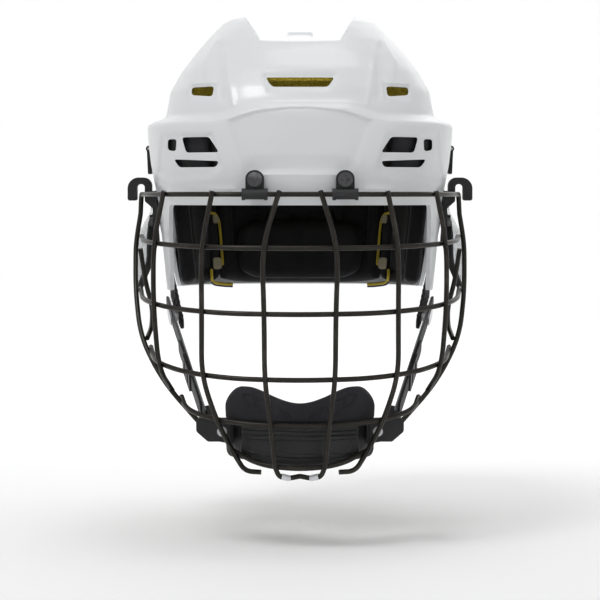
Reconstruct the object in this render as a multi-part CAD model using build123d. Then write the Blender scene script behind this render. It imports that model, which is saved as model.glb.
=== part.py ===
"""Ice hockey helmet with a hinged wire face cage, chin cup and snap-off straps.

Millimetres. +Z is up, the face looks along -Y, and +X is the wearer's left.
The origin is the centre of the head cavity.
"""

import math
import os

from build123d import *

# ---------------------------------------------------------------- shell, driving dimensions
WALL = 3.0  # moulded shell wall
NEST_GAP = 0.5  # between the front shell's inside and the rear shell's outside
PAD_GAP = 0.4  # between a shell and the foam glued in it
PAD_THICK = 12.0  # foam thickness
SIDE_FRONT_Y = -10.0  # the shell's sides run straight along Y from here
SIDE_REAR_Y = 45.0  # to here, so that the rear shell can slide
FRONT_FULLNESS = 2.6  # superellipse exponent of the plan's front half
REAR_FULLNESS = 2.3  # and of its rear half

BAND_HALF_WIDTH = 110.0  # helmet's widest place, on the brow band
BRIM_Z = -28.5  # lower edge of the brim
NAPE_Z = -92.0  # lower edge of the rear shell
BAND_TOP_Z = 27.0
CROWN_BASE_Z = 34.0
CROWN_TOP_Z = 99.0
CROWN_INSET = 53.0  # from the band's side in to the edge of the crown's flat top
RIDGE_HEIGHT = 7.0
RIDGE_WIDTH = 19.0
FRONT_REACH = 146.0  # from the origin to the brow
REAR_REACH = 144.0  # from the origin to the back of the head
BAND_STEP = 13.5  # how far the brow band stands out from the crown, at the sides

# Each section of the shell: height, half width, reach to the front, reach to the rear.
SECTIONS = [
    (NAPE_Z, BAND_HALF_WIDTH - 14.0, FRONT_REACH - 10.0, REAR_REACH - 22.0),
    (BRIM_Z, BAND_HALF_WIDTH - 8.0, FRONT_REACH - 3.0, REAR_REACH - 6.0),
    (0.0, BAND_HALF_WIDTH - 2.5, FRONT_REACH, REAR_REACH - 1.0),
    (BAND_TOP_Z, BAND_HALF_WIDTH, FRONT_REACH - 1.0, REAR_REACH),
    (CROWN_BASE_Z, BAND_HALF_WIDTH - BAND_STEP, FRONT_REACH - 7.0, REAR_REACH - 3.0),
    (52.0, BAND_HALF_WIDTH - 16.5, FRONT_REACH - 15.0, REAR_REACH - 10.0),
    (78.0, BAND_HALF_WIDTH - 33.5, FRONT_REACH - 38.0, REAR_REACH - 31.0),
    (92.0, BAND_HALF_WIDTH - 45.0, FRONT_REACH - 60.0, REAR_REACH - 54.0),
    (CROWN_TOP_Z, BAND_HALF_WIDTH - CROWN_INSET, FRONT_REACH - 78.0, REAR_REACH - 74.0),
]

REAR_LIP_Y = 0.0  # leading edge of the rear shell, inside the front shell
SEAM_Y = 44.0  # trailing edge of the front shell
SLIDE_TRAVEL = 20.0  # size adjustment

# ---------------------------------------------------------------- cage, driving dimensions
WIRE = 3.4  # wire diameter
WELD = 0.3  # how far crossing wires sink into each other at a weld
HINGE_GAP = 5.0  # from the brow to the top bar's centreline
HINGE_Y = -FRONT_REACH - HINGE_GAP  # top bar's straight middle, which turns in the forehead clips
HINGE_Z = -21.0
BAR_HALF = 54.0  # half length of the top bar before it bends back
CAGE_SIDE_GAP = 4.0  # from the brow band to the centreline of the top bar's ends
CAGE_HALF_WIDTH = BAND_HALF_WIDTH + CAGE_SIDE_GAP
CAGE_END_Y = -35.0  # where the top bar's ends turn down
RUNNING = 0.3  # gap round anything that turns on a wire or pin

# ---------------------------------------------------------------- fittings
CLIP_X = 30.5  # forehead clips, left and right of centre
SLEEVE_LENGTH = 17.5
SLEEVE_RADIUS = 3.5
COLLAR_RADIUS = 4.0  # thicker ring at each end of a clip's sleeve
COLLAR_LENGTH = 2.4
TAB_WIDTH = 12.5
TAB_THICK = 4.4
CLIP_SCREW_Z = -11.0
SCREW_SHANK = 2.2  # radius
SCREW_HEAD = 5.0  # radius
HOLE_PLAY = 0.2  # radial, round a screw's shank

EAR_COVER_THICK = 2.4
SNAP_PITCH = 0.3  # gap between a snap's two halves
STRAP_WIDTH = 15.0
STRAP_THICK = 1.8
STRAP_PIN = 2.0  # radius of the pin that a strap turns on

SIDES = (("left", 1), ("right", -1))

os.makedirs("parts", exist_ok=True)


def save(name, shape):
    """Write one node. A list becomes one compound of separate solids."""
    if isinstance(shape, (list, tuple)):
        shape = Compound(children=[solid for piece in shape for solid in piece.solids()])
    export_step(shape, f"parts/{name}.step")


# ================================================================= shell surfaces
def power(value, exponent):
    """Signed power, for superellipse coordinates."""
    return math.copysign(abs(value) ** exponent, value)


def half_plan(half_width, reach, start_y, way, fullness, z):
    """Half a superellipse in plan from the right side to the left, as a spline."""
    points = []
    for step in range(13):
        turn = math.pi * step / 12
        x = half_width * power(math.cos(turn), 2 / fullness)
        y = start_y + way * (reach - abs(start_y)) * power(math.sin(turn), 2 / fullness)
        points.append((x, y, z))
    return Spline(points, tangents=[(0, way, 0), (0, -way, 0)])


def plan_wire(z, half_width, front, rear):
    """Closed plan outline at one height: front half, straight sides, rear half."""
    ahead = half_plan(half_width, front, SIDE_FRONT_Y, -1, FRONT_FULLNESS, z)
    behind = half_plan(half_width, rear, SIDE_REAR_Y, 1, REAR_FULLNESS, z)
    left_side = Line((-half_width, SIDE_FRONT_Y, z), (-half_width, SIDE_REAR_Y, z))
    right_side = Line((half_width, SIDE_REAR_Y, z), (half_width, SIDE_FRONT_Y, z))
    return Wire([ahead.edge(), left_side.edge(), behind.edge(), right_side.edge()])


def dome(inset):
    """The helmet's outer form, drawn in by inset all round and at the top."""
    rows = [(z, w - inset, f - inset, r - inset) for z, w, f, r in SECTIONS]
    top = rows[-1]
    rows[-1] = (top[0] - inset, *top[1:])
    return Solid.make_loft([plan_wire(*row) for row in rows], ruled=True)


def shell_section(z):
    """Half width, front reach and rear reach of the outer form at a height."""
    for low, high in zip(SECTIONS, SECTIONS[1:]):
        if low[0] <= z <= high[0]:
            share = (z - low[0]) / (high[0] - low[0])
            return [a + share * (b - a) for a, b in zip(low[1:], high[1:])]
    raise ValueError(z)


def front_skin_y(x, z):
    """Y of the outer form's front at x and z."""
    half_width, front, _ = shell_section(z)
    part = (1 - (abs(x) / half_width) ** FRONT_FULLNESS) ** (1 / FRONT_FULLNESS)
    return SIDE_FRONT_Y - (front - abs(SIDE_FRONT_Y)) * part


def prism(plane, points, radii, amount, both=True):
    """Prism of a closed outline drawn in a plane, with a rounding radius for each corner."""
    outline = make_face(FilletPolyline(*points, radius=radii, close=True))
    return extrude(plane * outline, amount=amount, both=both)


def box_between(low, high):
    """Axis-aligned block from its lowest to its highest corner."""
    size = [b - a for a, b in zip(low, high)]
    return Pos(*low) * Box(*size, align=(Align.MIN, Align.MIN, Align.MIN))


def rod_x(radius, x0, x1, y, z):
    """Round bar along X."""
    low, high = min(x0, x1), max(x0, x1)
    bar = Cylinder(radius, high - low, align=(Align.CENTER, Align.CENTER, Align.MIN))
    return Pos(low, y, z) * Rot(0, 90, 0) * bar


def rod_y(radius, x, y0, y1, z):
    """Round bar along Y."""
    low, high = min(y0, y1), max(y0, y1)
    bar = Cylinder(radius, high - low, align=(Align.CENTER, Align.CENTER, Align.MIN))
    return Pos(x, low, z) * Rot(-90, 0, 0) * bar


# ================================================================= front shell
def brow_vents():
    """Vents through the front of the shell, as outlines in X-Z carried through along Y."""
    crown_centre = [(-23.5, 58.5), (23.5, 58.5), (19.0, 52.0), (-19.0, 52.0)]
    crown_side = [(59.0, 53.0), (75.0, 53.0), (75.0, 47.5), (60.0, 46.0)]
    brow_large = [(55.0, 7.5), (62.0, 18.0), (81.0, 18.0), (78.0, 7.5)]
    brow_small = [(85.5, 8.5), (85.0, 17.0), (91.5, 17.0), (91.5, 9.5)]
    brow_slot = [(55.0, 1.5), (87.0, 3.0), (83.0, -2.5), (57.0, -2.5)]
    outlines = [crown_centre]
    for outline in (crown_side, brow_large, brow_small, brow_slot):
        outlines.append(outline)
        outlines.append([(-x, z) for x, z in outline])
    cuts = []
    for outline in outlines:
        rounding = [1.2] * len(outline)
        cut = prism(Plane.XZ, outline, rounding, 170.0, both=False)
        cuts.append(cut)
    return cuts


LOBE_BOTTOM_Z = -89.0  # temple lobe, in front of the ear
FRONT_TRIM = [
    (-200, BRIM_Z),
    (-90, BRIM_Z),
    (-70, LOBE_BOTTOM_Z),
    (-44, LOBE_BOTTOM_Z),
    (-22, BRIM_Z - 4),
    (SEAM_Y - 8, BRIM_Z - 1),
    (SEAM_Y, 20),
    (SEAM_Y + 4, 130),
    (-200, 130),
]
FRONT_TRIM_RADII = [0, 10, 10, 9, 8, 10, 0, 0, 0]
REAR_TRIM = [
    (REAR_LIP_Y, BRIM_Z + 6),
    (32, BRIM_Z + 3),
    (52, -74),
    (72, NAPE_Z + 1),
    (200, NAPE_Z + 1),
    (200, 130),
    (REAR_LIP_Y, 130),
]
REAR_TRIM_RADII = [0, 18, 18, 14, 0, 0, 0]
front_space = prism(Plane.YZ, FRONT_TRIM, FRONT_TRIM_RADII, 200.0)
rear_space = prism(Plane.YZ, REAR_TRIM, REAR_TRIM_RADII, 200.0)

outer_skin = dome(0)
front_inside = dome(WALL)
rear_outside = dome(WALL + NEST_GAP)
rear_inside = dome(2 * WALL + NEST_GAP)
front_pad_outside = dome(WALL + PAD_GAP)
front_pad_inside = dome(WALL + PAD_GAP + PAD_THICK)
rear_pad_outside = dome(2 * WALL + NEST_GAP + PAD_GAP)
rear_pad_inside = dome(2 * WALL + NEST_GAP + PAD_GAP + PAD_THICK)

ridges = []
for _, side in SIDES:
    foot_x = BAND_HALF_WIDTH - CROWN_INSET  # outer edge of the crown's flat top
    profile = [
        (side * (foot_x - RIDGE_WIDTH), CROWN_TOP_Z - 0.5),
        (side * (foot_x + 0.5), CROWN_TOP_Z - 3.0),
        (side * (foot_x - 3.0), CROWN_TOP_Z + 4.0),
        (side * (foot_x - RIDGE_WIDTH + 5.0), CROWN_TOP_Z + RIDGE_HEIGHT),
    ]
    ridge = prism(Plane.XZ, profile, [0, 0, 2.0, 3.0], 45.0)
    ridges.append(ridge & box_between((-200, -60, 0), (200, SEAM_Y - 4, 200)))

clip_face_y = front_skin_y(CLIP_X - TAB_WIDTH / 2, CLIP_SCREW_Z) - 0.9  # back of a clip's tab
HOOK_Y = -35.0  # side hooks, over the top bar's ends
HOOK_WIDTH = 11.0
HOOK_SCREW_Z = -40.0
HOOK_LEG_OUT = BAND_HALF_WIDTH - 4.4  # outer face of the leg that lies on the temple lobe
EAR_SCREW_Z = -23.5
EAR_SCREW_YS = (-14.0, 22.0)
EAR_SHANK = 1.5  # radius
GUIDE_Y = 28.0  # guide screw, which the rear shell's slot slides on
GUIDE_Z = -13.5
GUIDE_SHANK = 2.0  # radius
LEVER_Y = (15.0, 37.0)  # size lever, from its front to its rear side
LEVER_X = BAND_HALF_WIDTH + 1.6  # its pin
LEVER_Z = 12.6
LEVER_PIN = 1.1  # radius
LEVER_PLAY = 0.4  # each side of a lever, between its lugs
LUG_THICK = 1.8
LEVER_LUGS = (
    (LEVER_Y[0] - LEVER_PLAY - LUG_THICK, LEVER_Y[0] - LEVER_PLAY),
    (LEVER_Y[1] + LEVER_PLAY, LEVER_Y[1] + LEVER_PLAY + LUG_THICK),
)
SIDE_OUT_X = BAND_HALF_WIDTH + 5.0  # beyond the shell's side, where a cross hole starts
SIDE_IN_X = BAND_HALF_WIDTH - 30.0  # inside it, where the hole ends


def clip_screw(x, radius, start, end):
    """Cylinder on a forehead screw's axis, from start to end behind the tab's back face."""
    return rod_y(radius, x, clip_face_y + start, clip_face_y + end, CLIP_SCREW_Z)


front_shell = (outer_skin - front_inside) & front_space
for ridge in ridges:
    front_shell = front_shell + ridge
for cut in brow_vents():
    front_shell = front_shell - cut
for _, side in SIDES:
    front_shell -= clip_screw(side * CLIP_X, SCREW_SHANK + HOLE_PLAY, -5, 20)
    hole = (side * SIDE_IN_X, side * SIDE_OUT_X)
    front_shell -= rod_x(SCREW_SHANK + HOLE_PLAY, *hole, HOOK_Y, HOOK_SCREW_Z)
    for ear_y in EAR_SCREW_YS:
        front_shell -= rod_x(EAR_SHANK + HOLE_PLAY, *hole, ear_y, EAR_SCREW_Z)
    front_shell -= rod_x(GUIDE_SHANK + HOLE_PLAY, *hole, GUIDE_Y, GUIDE_Z)
    for near, far in LEVER_LUGS:
        low_x, high_x = sorted((side * (LEVER_X - 4.4), side * (LEVER_X + 2.0)))
        front_shell += box_between((low_x, near, LEVER_Z - 2.6), (high_x, far, LEVER_Z + 3.0))
    front_shell -= rod_y(LEVER_PIN + 0.05, side * LEVER_X, LEVER_Y[0] - 9, LEVER_Y[1] + 9, LEVER_Z)
save("front_shell", front_shell)

rear_shell = (rear_outside & rear_space) - (rear_inside & rear_space)
REAR_VENT = (26.0, 8.0)  # width and height
for x in (-48.0, 0.0, 48.0):
    for z in (46.0, 8.0):
        half, tall = REAR_VENT[0] / 2, REAR_VENT[1] / 2
        rear_shell -= box_between((x - half, 90, z - tall), (x + half, 200, z + tall))
for _, side in SIDES:
    for y in (GUIDE_Y - SLIDE_TRAVEL, GUIDE_Y):
        rear_shell -= rod_x(GUIDE_SHANK + RUNNING, side * SIDE_IN_X, side * SIDE_OUT_X, y, GUIDE_Z)
    low_x, high_x = sorted((side * SIDE_IN_X, side * SIDE_OUT_X))
    groove = GUIDE_SHANK + RUNNING
    slot_low = (low_x, GUIDE_Y - SLIDE_TRAVEL, GUIDE_Z - groove)
    rear_shell -= box_between(slot_low, (high_x, GUIDE_Y, GUIDE_Z + groove))
save("rear_shell", rear_shell)

# ================================================================= foam
foam_front = front_pad_outside - front_pad_inside
foam_rear = rear_pad_outside - rear_pad_inside
FRONT_FOAM_END_Y = -8.0
CROWN_FOAM_Z = 38.0
FRONT_PAD_HALF = 58.0
forehead_low = (-FRONT_PAD_HALF, -200, BRIM_Z + 4)
forehead_pad = foam_front & box_between(forehead_low, (FRONT_PAD_HALF, -60, CROWN_FOAM_Z))
for _, side in SIDES:
    forehead_pad -= clip_screw(side * CLIP_X, 8.0, 0, 16)
save("forehead_pad", forehead_pad)
for name, side in SIDES:
    inner_x, outer_x = sorted((side * (FRONT_PAD_HALF + 1), side * 200))
    low = (inner_x, -150, BRIM_Z + 4)
    high = (outer_x, FRONT_FOAM_END_Y, CROWN_FOAM_Z)
    save(f"temple_pad_{name}", foam_front & box_between(low, high))
save("crown_foam", foam_front & box_between((-200, -200, CROWN_FOAM_Z + 1), (200, FRONT_FOAM_END_Y, 200)))

REAR_FOAM_Y = 92.0  # the occipital liner starts here, and the side liners end
LINER_LOW_Z = NAPE_Z + 1.5
LINER_HIGH_Z = 30.0
LINER_HALF = 62.0  # half width of the occipital liner
occipital_low = (-LINER_HALF, REAR_FOAM_Y - 20, LINER_LOW_Z)
save("occipital_liner", foam_rear & box_between(occipital_low, (LINER_HALF, 200, LINER_HIGH_Z)))
for name, side in SIDES:
    inner_x, outer_x = sorted((side * (LINER_HALF + 1), side * 200))
    side_outline = [
        (34, BRIM_Z + 5),
        (54, -74),
        (74, LINER_LOW_Z),
        (110, LINER_LOW_Z),
        (110, LINER_HIGH_Z),
        (34, LINER_HIGH_Z),
    ]
    side_space = prism(Plane.YZ, side_outline, [12, 10, 8, 0, 0, 0], 200.0)
    side_block = box_between((inner_x, 0, -100), (outer_x, 200, LINER_HIGH_Z))
    save(f"side_liner_{name}", foam_rear & side_block & side_space)
save("rear_crown_foam", foam_rear & box_between((-200, 12, LINER_HIGH_Z + 1), (200, 200, 200)))
NAPE_PAD_THICK = 9.0
nape_out = dome(2 * WALL + NEST_GAP + 2 * PAD_GAP + PAD_THICK)
nape_in = dome(2 * WALL + NEST_GAP + 2 * PAD_GAP + PAD_THICK + NAPE_PAD_THICK)
save("nape_pad", (nape_out - nape_in) & box_between((-44, 60, LINER_LOW_Z + 6), (44, 200, -20)))

# ================================================================= wires of the cage
def corners_through(points):
    """Corners of a rod whose bends touch the given points, ends kept as they are.

    A bend cuts inside its corner, so each corner is moved out until the middle of its arc
    lies on the point it belongs to.
    """
    wanted = [Vector(*point) for point in points]
    corners = list(wanted)
    for _ in range(8):
        moved = list(corners)
        for i in range(1, len(corners) - 1):
            back = corners[i - 1] - corners[i]
            ahead = corners[i + 1] - corners[i]
            half_turn = (math.pi - math.radians(back.get_angle(ahead))) / 2
            inward = (back.normalized() + ahead.normalized()).normalized()
            tangent = 0.45 * min(back.length, ahead.length)
            radius = tangent / math.tan(half_turn)
            sagitta = radius * (1 / math.cos(half_turn) - 1)
            moved[i] = wanted[i] - inward * sagitta
        corners = moved
    return corners


def rod_path(corners, limits=None):
    """Straight runs joined by tangent arcs, each arc as large as its two runs allow."""
    corners = [Vector(*corner) for corner in corners]
    radii = []
    for i in range(1, len(corners) - 1):
        back = corners[i - 1] - corners[i]
        ahead = corners[i + 1] - corners[i]
        half_turn = (math.pi - math.radians(back.get_angle(ahead))) / 2
        radius = 0.45 * min(back.length, ahead.length) / math.tan(half_turn)
        radii.append(min(radius, (limits or {}).get(i, radius)))
    return FilletPolyline(*corners, radius=radii)


def bent_rod(path, diameter=WIRE):
    """Round rod along a path."""
    start = path @ 0
    heading = path % 0
    return sweep(Plane(origin=start, z_dir=heading) * Circle(diameter / 2), path=path)


def probe(path, coordinate, value, low=0.0, high=1.0):
    """Point and direction of a path where a coordinate takes a value, by halving."""
    rising = getattr(path @ high, coordinate) > getattr(path @ low, coordinate)
    for _ in range(40):
        middle = (low + high) / 2
        if (getattr(path @ middle, coordinate) < value) == rising:
            low = middle
        else:
            high = middle
    return path @ low, path % low


def mirrored(points):
    """The same points on the wearer's other side."""
    return [(-x, y, z) for x, y, z in points]


CROSSING = WIRE - WELD  # distance between the centrelines of two crossing wires
RAIL_TOP_Z = HINGE_Z - 14.0
rail_points = [
    (CAGE_HALF_WIDTH + 0.6, CAGE_END_Y - 0.8, RAIL_TOP_Z),
    (CAGE_HALF_WIDTH + 3.4, CAGE_END_Y - 6.0, -56.0),
    (CAGE_HALF_WIDTH + 2.6, CAGE_END_Y - 22.0, -88.0),
    (CAGE_HALF_WIDTH - 3.4, CAGE_END_Y - 45.0, -121.0),
    (CAGE_HALF_WIDTH - 20.5, CAGE_END_Y - 68.0, -151.0),
    (CAGE_HALF_WIDTH - 47.5, HINGE_Y + 30.0, -180.5),
]
rail_path = rod_path(corners_through(rail_points))
top_end = Vector(*rail_points[0])
top_corners = [
    (-BAR_HALF, HINGE_Y, HINGE_Z),
    (28.0 - CAGE_HALF_WIDTH, HINGE_Y + 20.0, HINGE_Z),
    (7.0 - CAGE_HALF_WIDTH, CAGE_END_Y - 59.0, HINGE_Z),
    (-CAGE_HALF_WIDTH, CAGE_END_Y, HINGE_Z),
    (-top_end.X, top_end.Y, top_end.Z),
]
top_path = rod_path(mirrored(top_corners)[::-1] + top_corners, {1: 8.0, 8: 8.0})
cage_pieces = {"top_bar": bent_rod(top_path)}
for name, side in SIDES:
    points = rail_points if side > 0 else mirrored(rail_points)
    cage_pieces[f"side_rail_{name}"] = bent_rod(rod_path(corners_through(points)))


def face_bar(centre_y, centre_z, end_z, fullness, past=4.0):
    """Face bar in one tilted plane, from side rail to side rail, inside both of them."""
    rail, _ = probe(rail_path, "Z", end_z)
    half_width = rail.X - CROSSING
    end_y = rail.Y + past
    points = []
    for step in range(9):
        turn = math.pi * step / 8
        x = half_width * power(math.cos(turn), 2 / fullness)
        share = power(math.sin(turn), 2 / fullness)
        points.append((x, end_y + share * (centre_y - end_y), end_z + share * (centre_z - end_z)))
    return rod_path(corners_through(points))


# Each face bar: height at the centre, height at its ends, centre Y, fullness of its bow.
BARS = {
    "face_bar_1": (-57.0, -51.0, HINGE_Y - 12.0, 2.5),
    "face_bar_2": (-101.0, -88.0, HINGE_Y - 19.0, 2.5),
    "face_bar_3": (-145.0, -128.0, HINGE_Y - 17.0, 2.35),
    "face_bar_4": (-176.5, -161.0, HINGE_Y - 9.0, 2.2),
}
bar_paths = {}
for name, (centre_z, end_z, centre_y, fullness) in BARS.items():
    bar_paths[name] = face_bar(centre_y, centre_z, end_z, fullness)
    cage_pieces[name] = bent_rod(bar_paths[name])

CHIN_WIRE = [(46.0, HINGE_Y + 23.0, -196.0), (26.0, HINGE_Y + 5.0, -203.5), (0.0, HINGE_Y, -206.0)]
chin_points = CHIN_WIRE + mirrored(CHIN_WIRE)[-2::-1]
chin_path = rod_path(corners_through(chin_points))
cage_pieces["chin_wire"] = bent_rod(chin_path)


def weld_point(path, x):
    """Centre of an upright where it crosses in front of a bar's wire at x."""
    point, heading = probe(path, "X", x)
    outward = Vector(heading.Y, -heading.X, 0).normalized()
    if outward.Y > 0:
        outward = outward * -1
    return point + outward * CROSSING


# X of each upright on the top bar, then on the face bars in turn.
UPRIGHTS = {
    "inner": (13.8, 23.6, 23.6, 22.8, 19.4),
    "middle": (57.8, 64.0, 64.4, 63.5, 54.5),
    "outer": tuple(CAGE_HALF_WIDTH - inset for inset in (23.5, 17.0, 17.0, 21.0)),
}
crossed = [top_path] + [bar_paths[name] for name in BARS]
for kind, places in UPRIGHTS.items():
    points = [weld_point(path, x) for path, x in zip(crossed, places)]
    start = points[0] + Vector(0, 0, 2.2)
    points = [start] + points[1:]
    if kind == "inner":
        bend = Vector(13.6, HINGE_Y + 3.0, -211.5)
        turned = Vector(8.0, HINGE_Y + 6.5, -213.2)
        points += [weld_point(chin_path, 16.0), bend, turned, Vector(0.0, HINGE_Y + 9.0, -212.2)]
    if kind == "middle":
        points += [weld_point(chin_path, 43.0)]
        points += [Vector(37.0, HINGE_Y + 16.0, -208.5), Vector(26.5, HINGE_Y + 14.0, -210.0)]
    if kind == "outer":
        landing, _ = probe(rail_path, "Z", -155.0)
        points += [landing + Vector(-1.6, 1.2, -1.6) * 1.2]
    plain = [(p.X, p.Y, p.Z) for p in points]
    for name, side in SIDES:
        route = plain if side > 0 else mirrored(plain)
        cage_pieces[f"{kind}_upright_{name}"] = bent_rod(rod_path(corners_through(route)))

# White sleeves cover the bends under the chin, where the two inner uprights turn to meet.
TIP_RADIUS = WIRE * 0.62
sleeve_start = bend + (turned - bend) * 0.3
sleeve_way = turned - sleeve_start
sleeve = Plane(origin=sleeve_start, z_dir=sleeve_way) * Cylinder(
    TIP_RADIUS, sleeve_way.length, align=(Align.CENTER, Align.CENTER, Align.MIN)
)
for end in (sleeve_start, turned):
    sleeve += Pos(*end) * Sphere(TIP_RADIUS)
cage_pieces["wire_tips"] = [sleeve, mirror(sleeve, about=Plane.YZ)]

# A second wire each side leaves the first face bar's end, bows back and meets the rail again.
wire_top, _ = probe(rail_path, "Z", -60.0)
wire_foot, _ = probe(rail_path, "Z", -122.0)
strap_wire_points = [
    (wire_top.X - CROSSING, wire_top.Y + 1.0, wire_top.Z),
    (CAGE_HALF_WIDTH - 3.0, CAGE_END_Y - 1.0, -84.0),
    (CAGE_HALF_WIDTH - 7.5, CAGE_END_Y - 8.0, -101.0),
    (CAGE_HALF_WIDTH - 8.5, CAGE_END_Y - 24.0, -114.0),
    (wire_foot.X - CROSSING + 0.2, wire_foot.Y + 1.0, wire_foot.Z),
]
for name, side in SIDES:
    route = strap_wire_points if side > 0 else mirrored(strap_wire_points)
    cage_pieces[f"strap_wire_{name}"] = bent_rod(rod_path(corners_through(route)))
for name, piece in cage_pieces.items():
    save(name, piece)

# ================================================================= forehead clips
TAB_FACE = clip_face_y - TAB_THICK  # front face of a clip's tab
for name, side in SIDES:
    x = side * CLIP_X
    low, high = x - TAB_WIDTH / 2, x + TAB_WIDTH / 2
    top = CLIP_SCREW_Z + TAB_WIDTH / 2
    outline = [(low, HINGE_Z - 1), (high, HINGE_Z - 1), (high, top), (low, top)]
    tab = prism(Plane.XZ.offset(-clip_face_y), outline, [0, 0, 6.0, 6.0], TAB_THICK, both=False)
    reach = SLEEVE_LENGTH / 2
    clip = tab + rod_x(SLEEVE_RADIUS, x - reach, x + reach, HINGE_Y, HINGE_Z)
    for end in (x - reach, x + reach - COLLAR_LENGTH):
        clip += rod_x(COLLAR_RADIUS, end, end + COLLAR_LENGTH, HINGE_Y, HINGE_Z)
    clip -= rod_x(WIRE / 2 + RUNNING, x - 20, x + 20, HINGE_Y, HINGE_Z)
    clip -= clip_screw(x, SCREW_SHANK + HOLE_PLAY, -TAB_THICK - 1, 1)
    save(f"forehead_clip_{name}", clip)

HEAD_THICK = 2.4
CROSS_SLOT = 1.3
NUT_RADIUS = 6.0
NUT_CLEAR = 0.685  # from the shell's inside to the nut's edge
nut_sweep = front_skin_y(CLIP_X + NUT_RADIUS, CLIP_SCREW_Z) - clip_face_y
NUT_START = nut_sweep + WALL + NUT_CLEAR  # behind the tab's back face
screws = []
nuts = []
for _, side in SIDES:
    x = side * CLIP_X
    screw = clip_screw(x, SCREW_HEAD, -TAB_THICK - HEAD_THICK, -TAB_THICK)
    screw += clip_screw(x, SCREW_SHANK, -TAB_THICK, NUT_START + 6)
    face = TAB_FACE - HEAD_THICK
    for wide, tall in ((6.0, CROSS_SLOT), (CROSS_SLOT, 6.0)):
        slot = Box(wide, 2.4, tall)
        screw -= Pos(x, face, CLIP_SCREW_Z) * slot
    screws.append(screw)
    nut = clip_screw(x, NUT_RADIUS, NUT_START, NUT_START + 1.3) + clip_screw(x, 3.4, NUT_START, NUT_START + 5)
    nuts.append(nut - clip_screw(x, SCREW_SHANK + 0.05, 0, 20))
save("forehead_screws", screws)
save("forehead_nuts", nuts)

# ================================================================= side hooks
HOOK_IN_X = BAND_HALF_WIDTH - 3.6  # inner face, beside the shell
HOOK_OUT_X = CAGE_HALF_WIDTH + 9.6
HOOK_TOP_Z = HINGE_Z + 12.0
HOOK_FOOT_Z = HINGE_Z - 36.0
HOOK_ROOF = 4.7  # thickness above the slot
SLOT_IN_X = CAGE_HALF_WIDTH - WIRE / 2 - 1.0
SLOT_OUT_X = CAGE_HALF_WIDTH + WIRE / 2 + 1.3
hook_screws = []
for name, side in SIDES:
    outline = [
        (HOOK_IN_X, HOOK_TOP_Z),
        (HOOK_OUT_X, HOOK_TOP_Z),
        (HOOK_OUT_X, HINGE_Z - 4.5),
        (SLOT_OUT_X, HINGE_Z - 4.5),
        (SLOT_OUT_X, HOOK_TOP_Z - HOOK_ROOF),
        (SLOT_IN_X, HOOK_TOP_Z - HOOK_ROOF),
        (SLOT_IN_X, HINGE_Z - 5.0),
        (HOOK_LEG_OUT, HINGE_Z - 10.0),
        (HOOK_LEG_OUT, HOOK_FOOT_Z),
        (HOOK_LEG_OUT - 4.6, HOOK_FOOT_Z),
        (HOOK_LEG_OUT - 2.6, HINGE_Z - 7.0),
        (HOOK_IN_X, HINGE_Z),
    ]
    radii = [6, 8, 1.6, 1.6, 2.4, 2.4, 2, 2, 1.2, 1.2, 2, 2]
    points = [(side * px, pz) for px, pz in outline]
    hook = prism(Plane.XZ.offset(-HOOK_Y), points, radii, HOOK_WIDTH / 2)
    hook -= rod_x(SCREW_SHANK + HOLE_PLAY, side * SIDE_IN_X, side * SIDE_OUT_X, HOOK_Y, HOOK_SCREW_Z)
    save(f"side_hook_{name}", hook)
    screw = rod_x(SCREW_SHANK, side * (HOOK_LEG_OUT - 10.6), side * HOOK_LEG_OUT, HOOK_Y, HOOK_SCREW_Z)
    screw += rod_x(4.2, side * HOOK_LEG_OUT, side * (HOOK_LEG_OUT + 2.6), HOOK_Y, HOOK_SCREW_Z)
    screw -= Pos(side * (HOOK_LEG_OUT + 2.6), HOOK_Y, HOOK_SCREW_Z) * Box(2.4, 5.0, 1.1)
    screw -= Pos(side * (HOOK_LEG_OUT + 2.6), HOOK_Y, HOOK_SCREW_Z) * Box(2.4, 1.1, 5.0)
    hook_screws.append(screw)
save("hook_screws", hook_screws)

# ================================================================= ear covers
EAR_X = BAND_HALF_WIDTH - 4.4  # inner face, where the cover lies on the shell
EAR_BOW = 13.0  # how far it bows out over the ear
RIM_WIDTH = 2.0
RIM_STEP = 0.6  # how far the rim stands proud of each face
EAR_MIDDLE_Y = 7.5
EAR_OUTLINE = [(-25, -18.5), (38, -18.5), (40, -58), (22, -89), (-6, -91), (-25, -72)]
EAR_RADII = [5, 6, 24, 16, 15, 22]
BOW_LEVELS = ((-10.0, 0.0), (-31.0, 0.0), (-52.0, 1.0), (-96.0, 1.0))  # height, share of the bow


def bowed_plate(inner_x, thick):
    """Plate beside the ear: flat where it is screwed on, and bowed out below the shell."""
    wires = []
    for z, share in BOW_LEVELS:
        curves = []
        for x in (inner_x, inner_x + thick):
            bow = EAR_BOW * share
            ends = [(x, EAR_MIDDLE_Y - 36, z), (x, EAR_MIDDLE_Y + 36, z)]
            curves.append(Spline([ends[0], (x + bow, EAR_MIDDLE_Y, z), ends[1]]))
        inner, outer = curves
        caps = [Line(inner @ 0, outer @ 0), Line(inner @ 1, outer @ 1)]
        wires.append(Wire([inner.edge(), caps[1].edge(), outer.edge(), caps[0].edge()]))
    return Solid.make_loft(wires, ruled=True)


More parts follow.
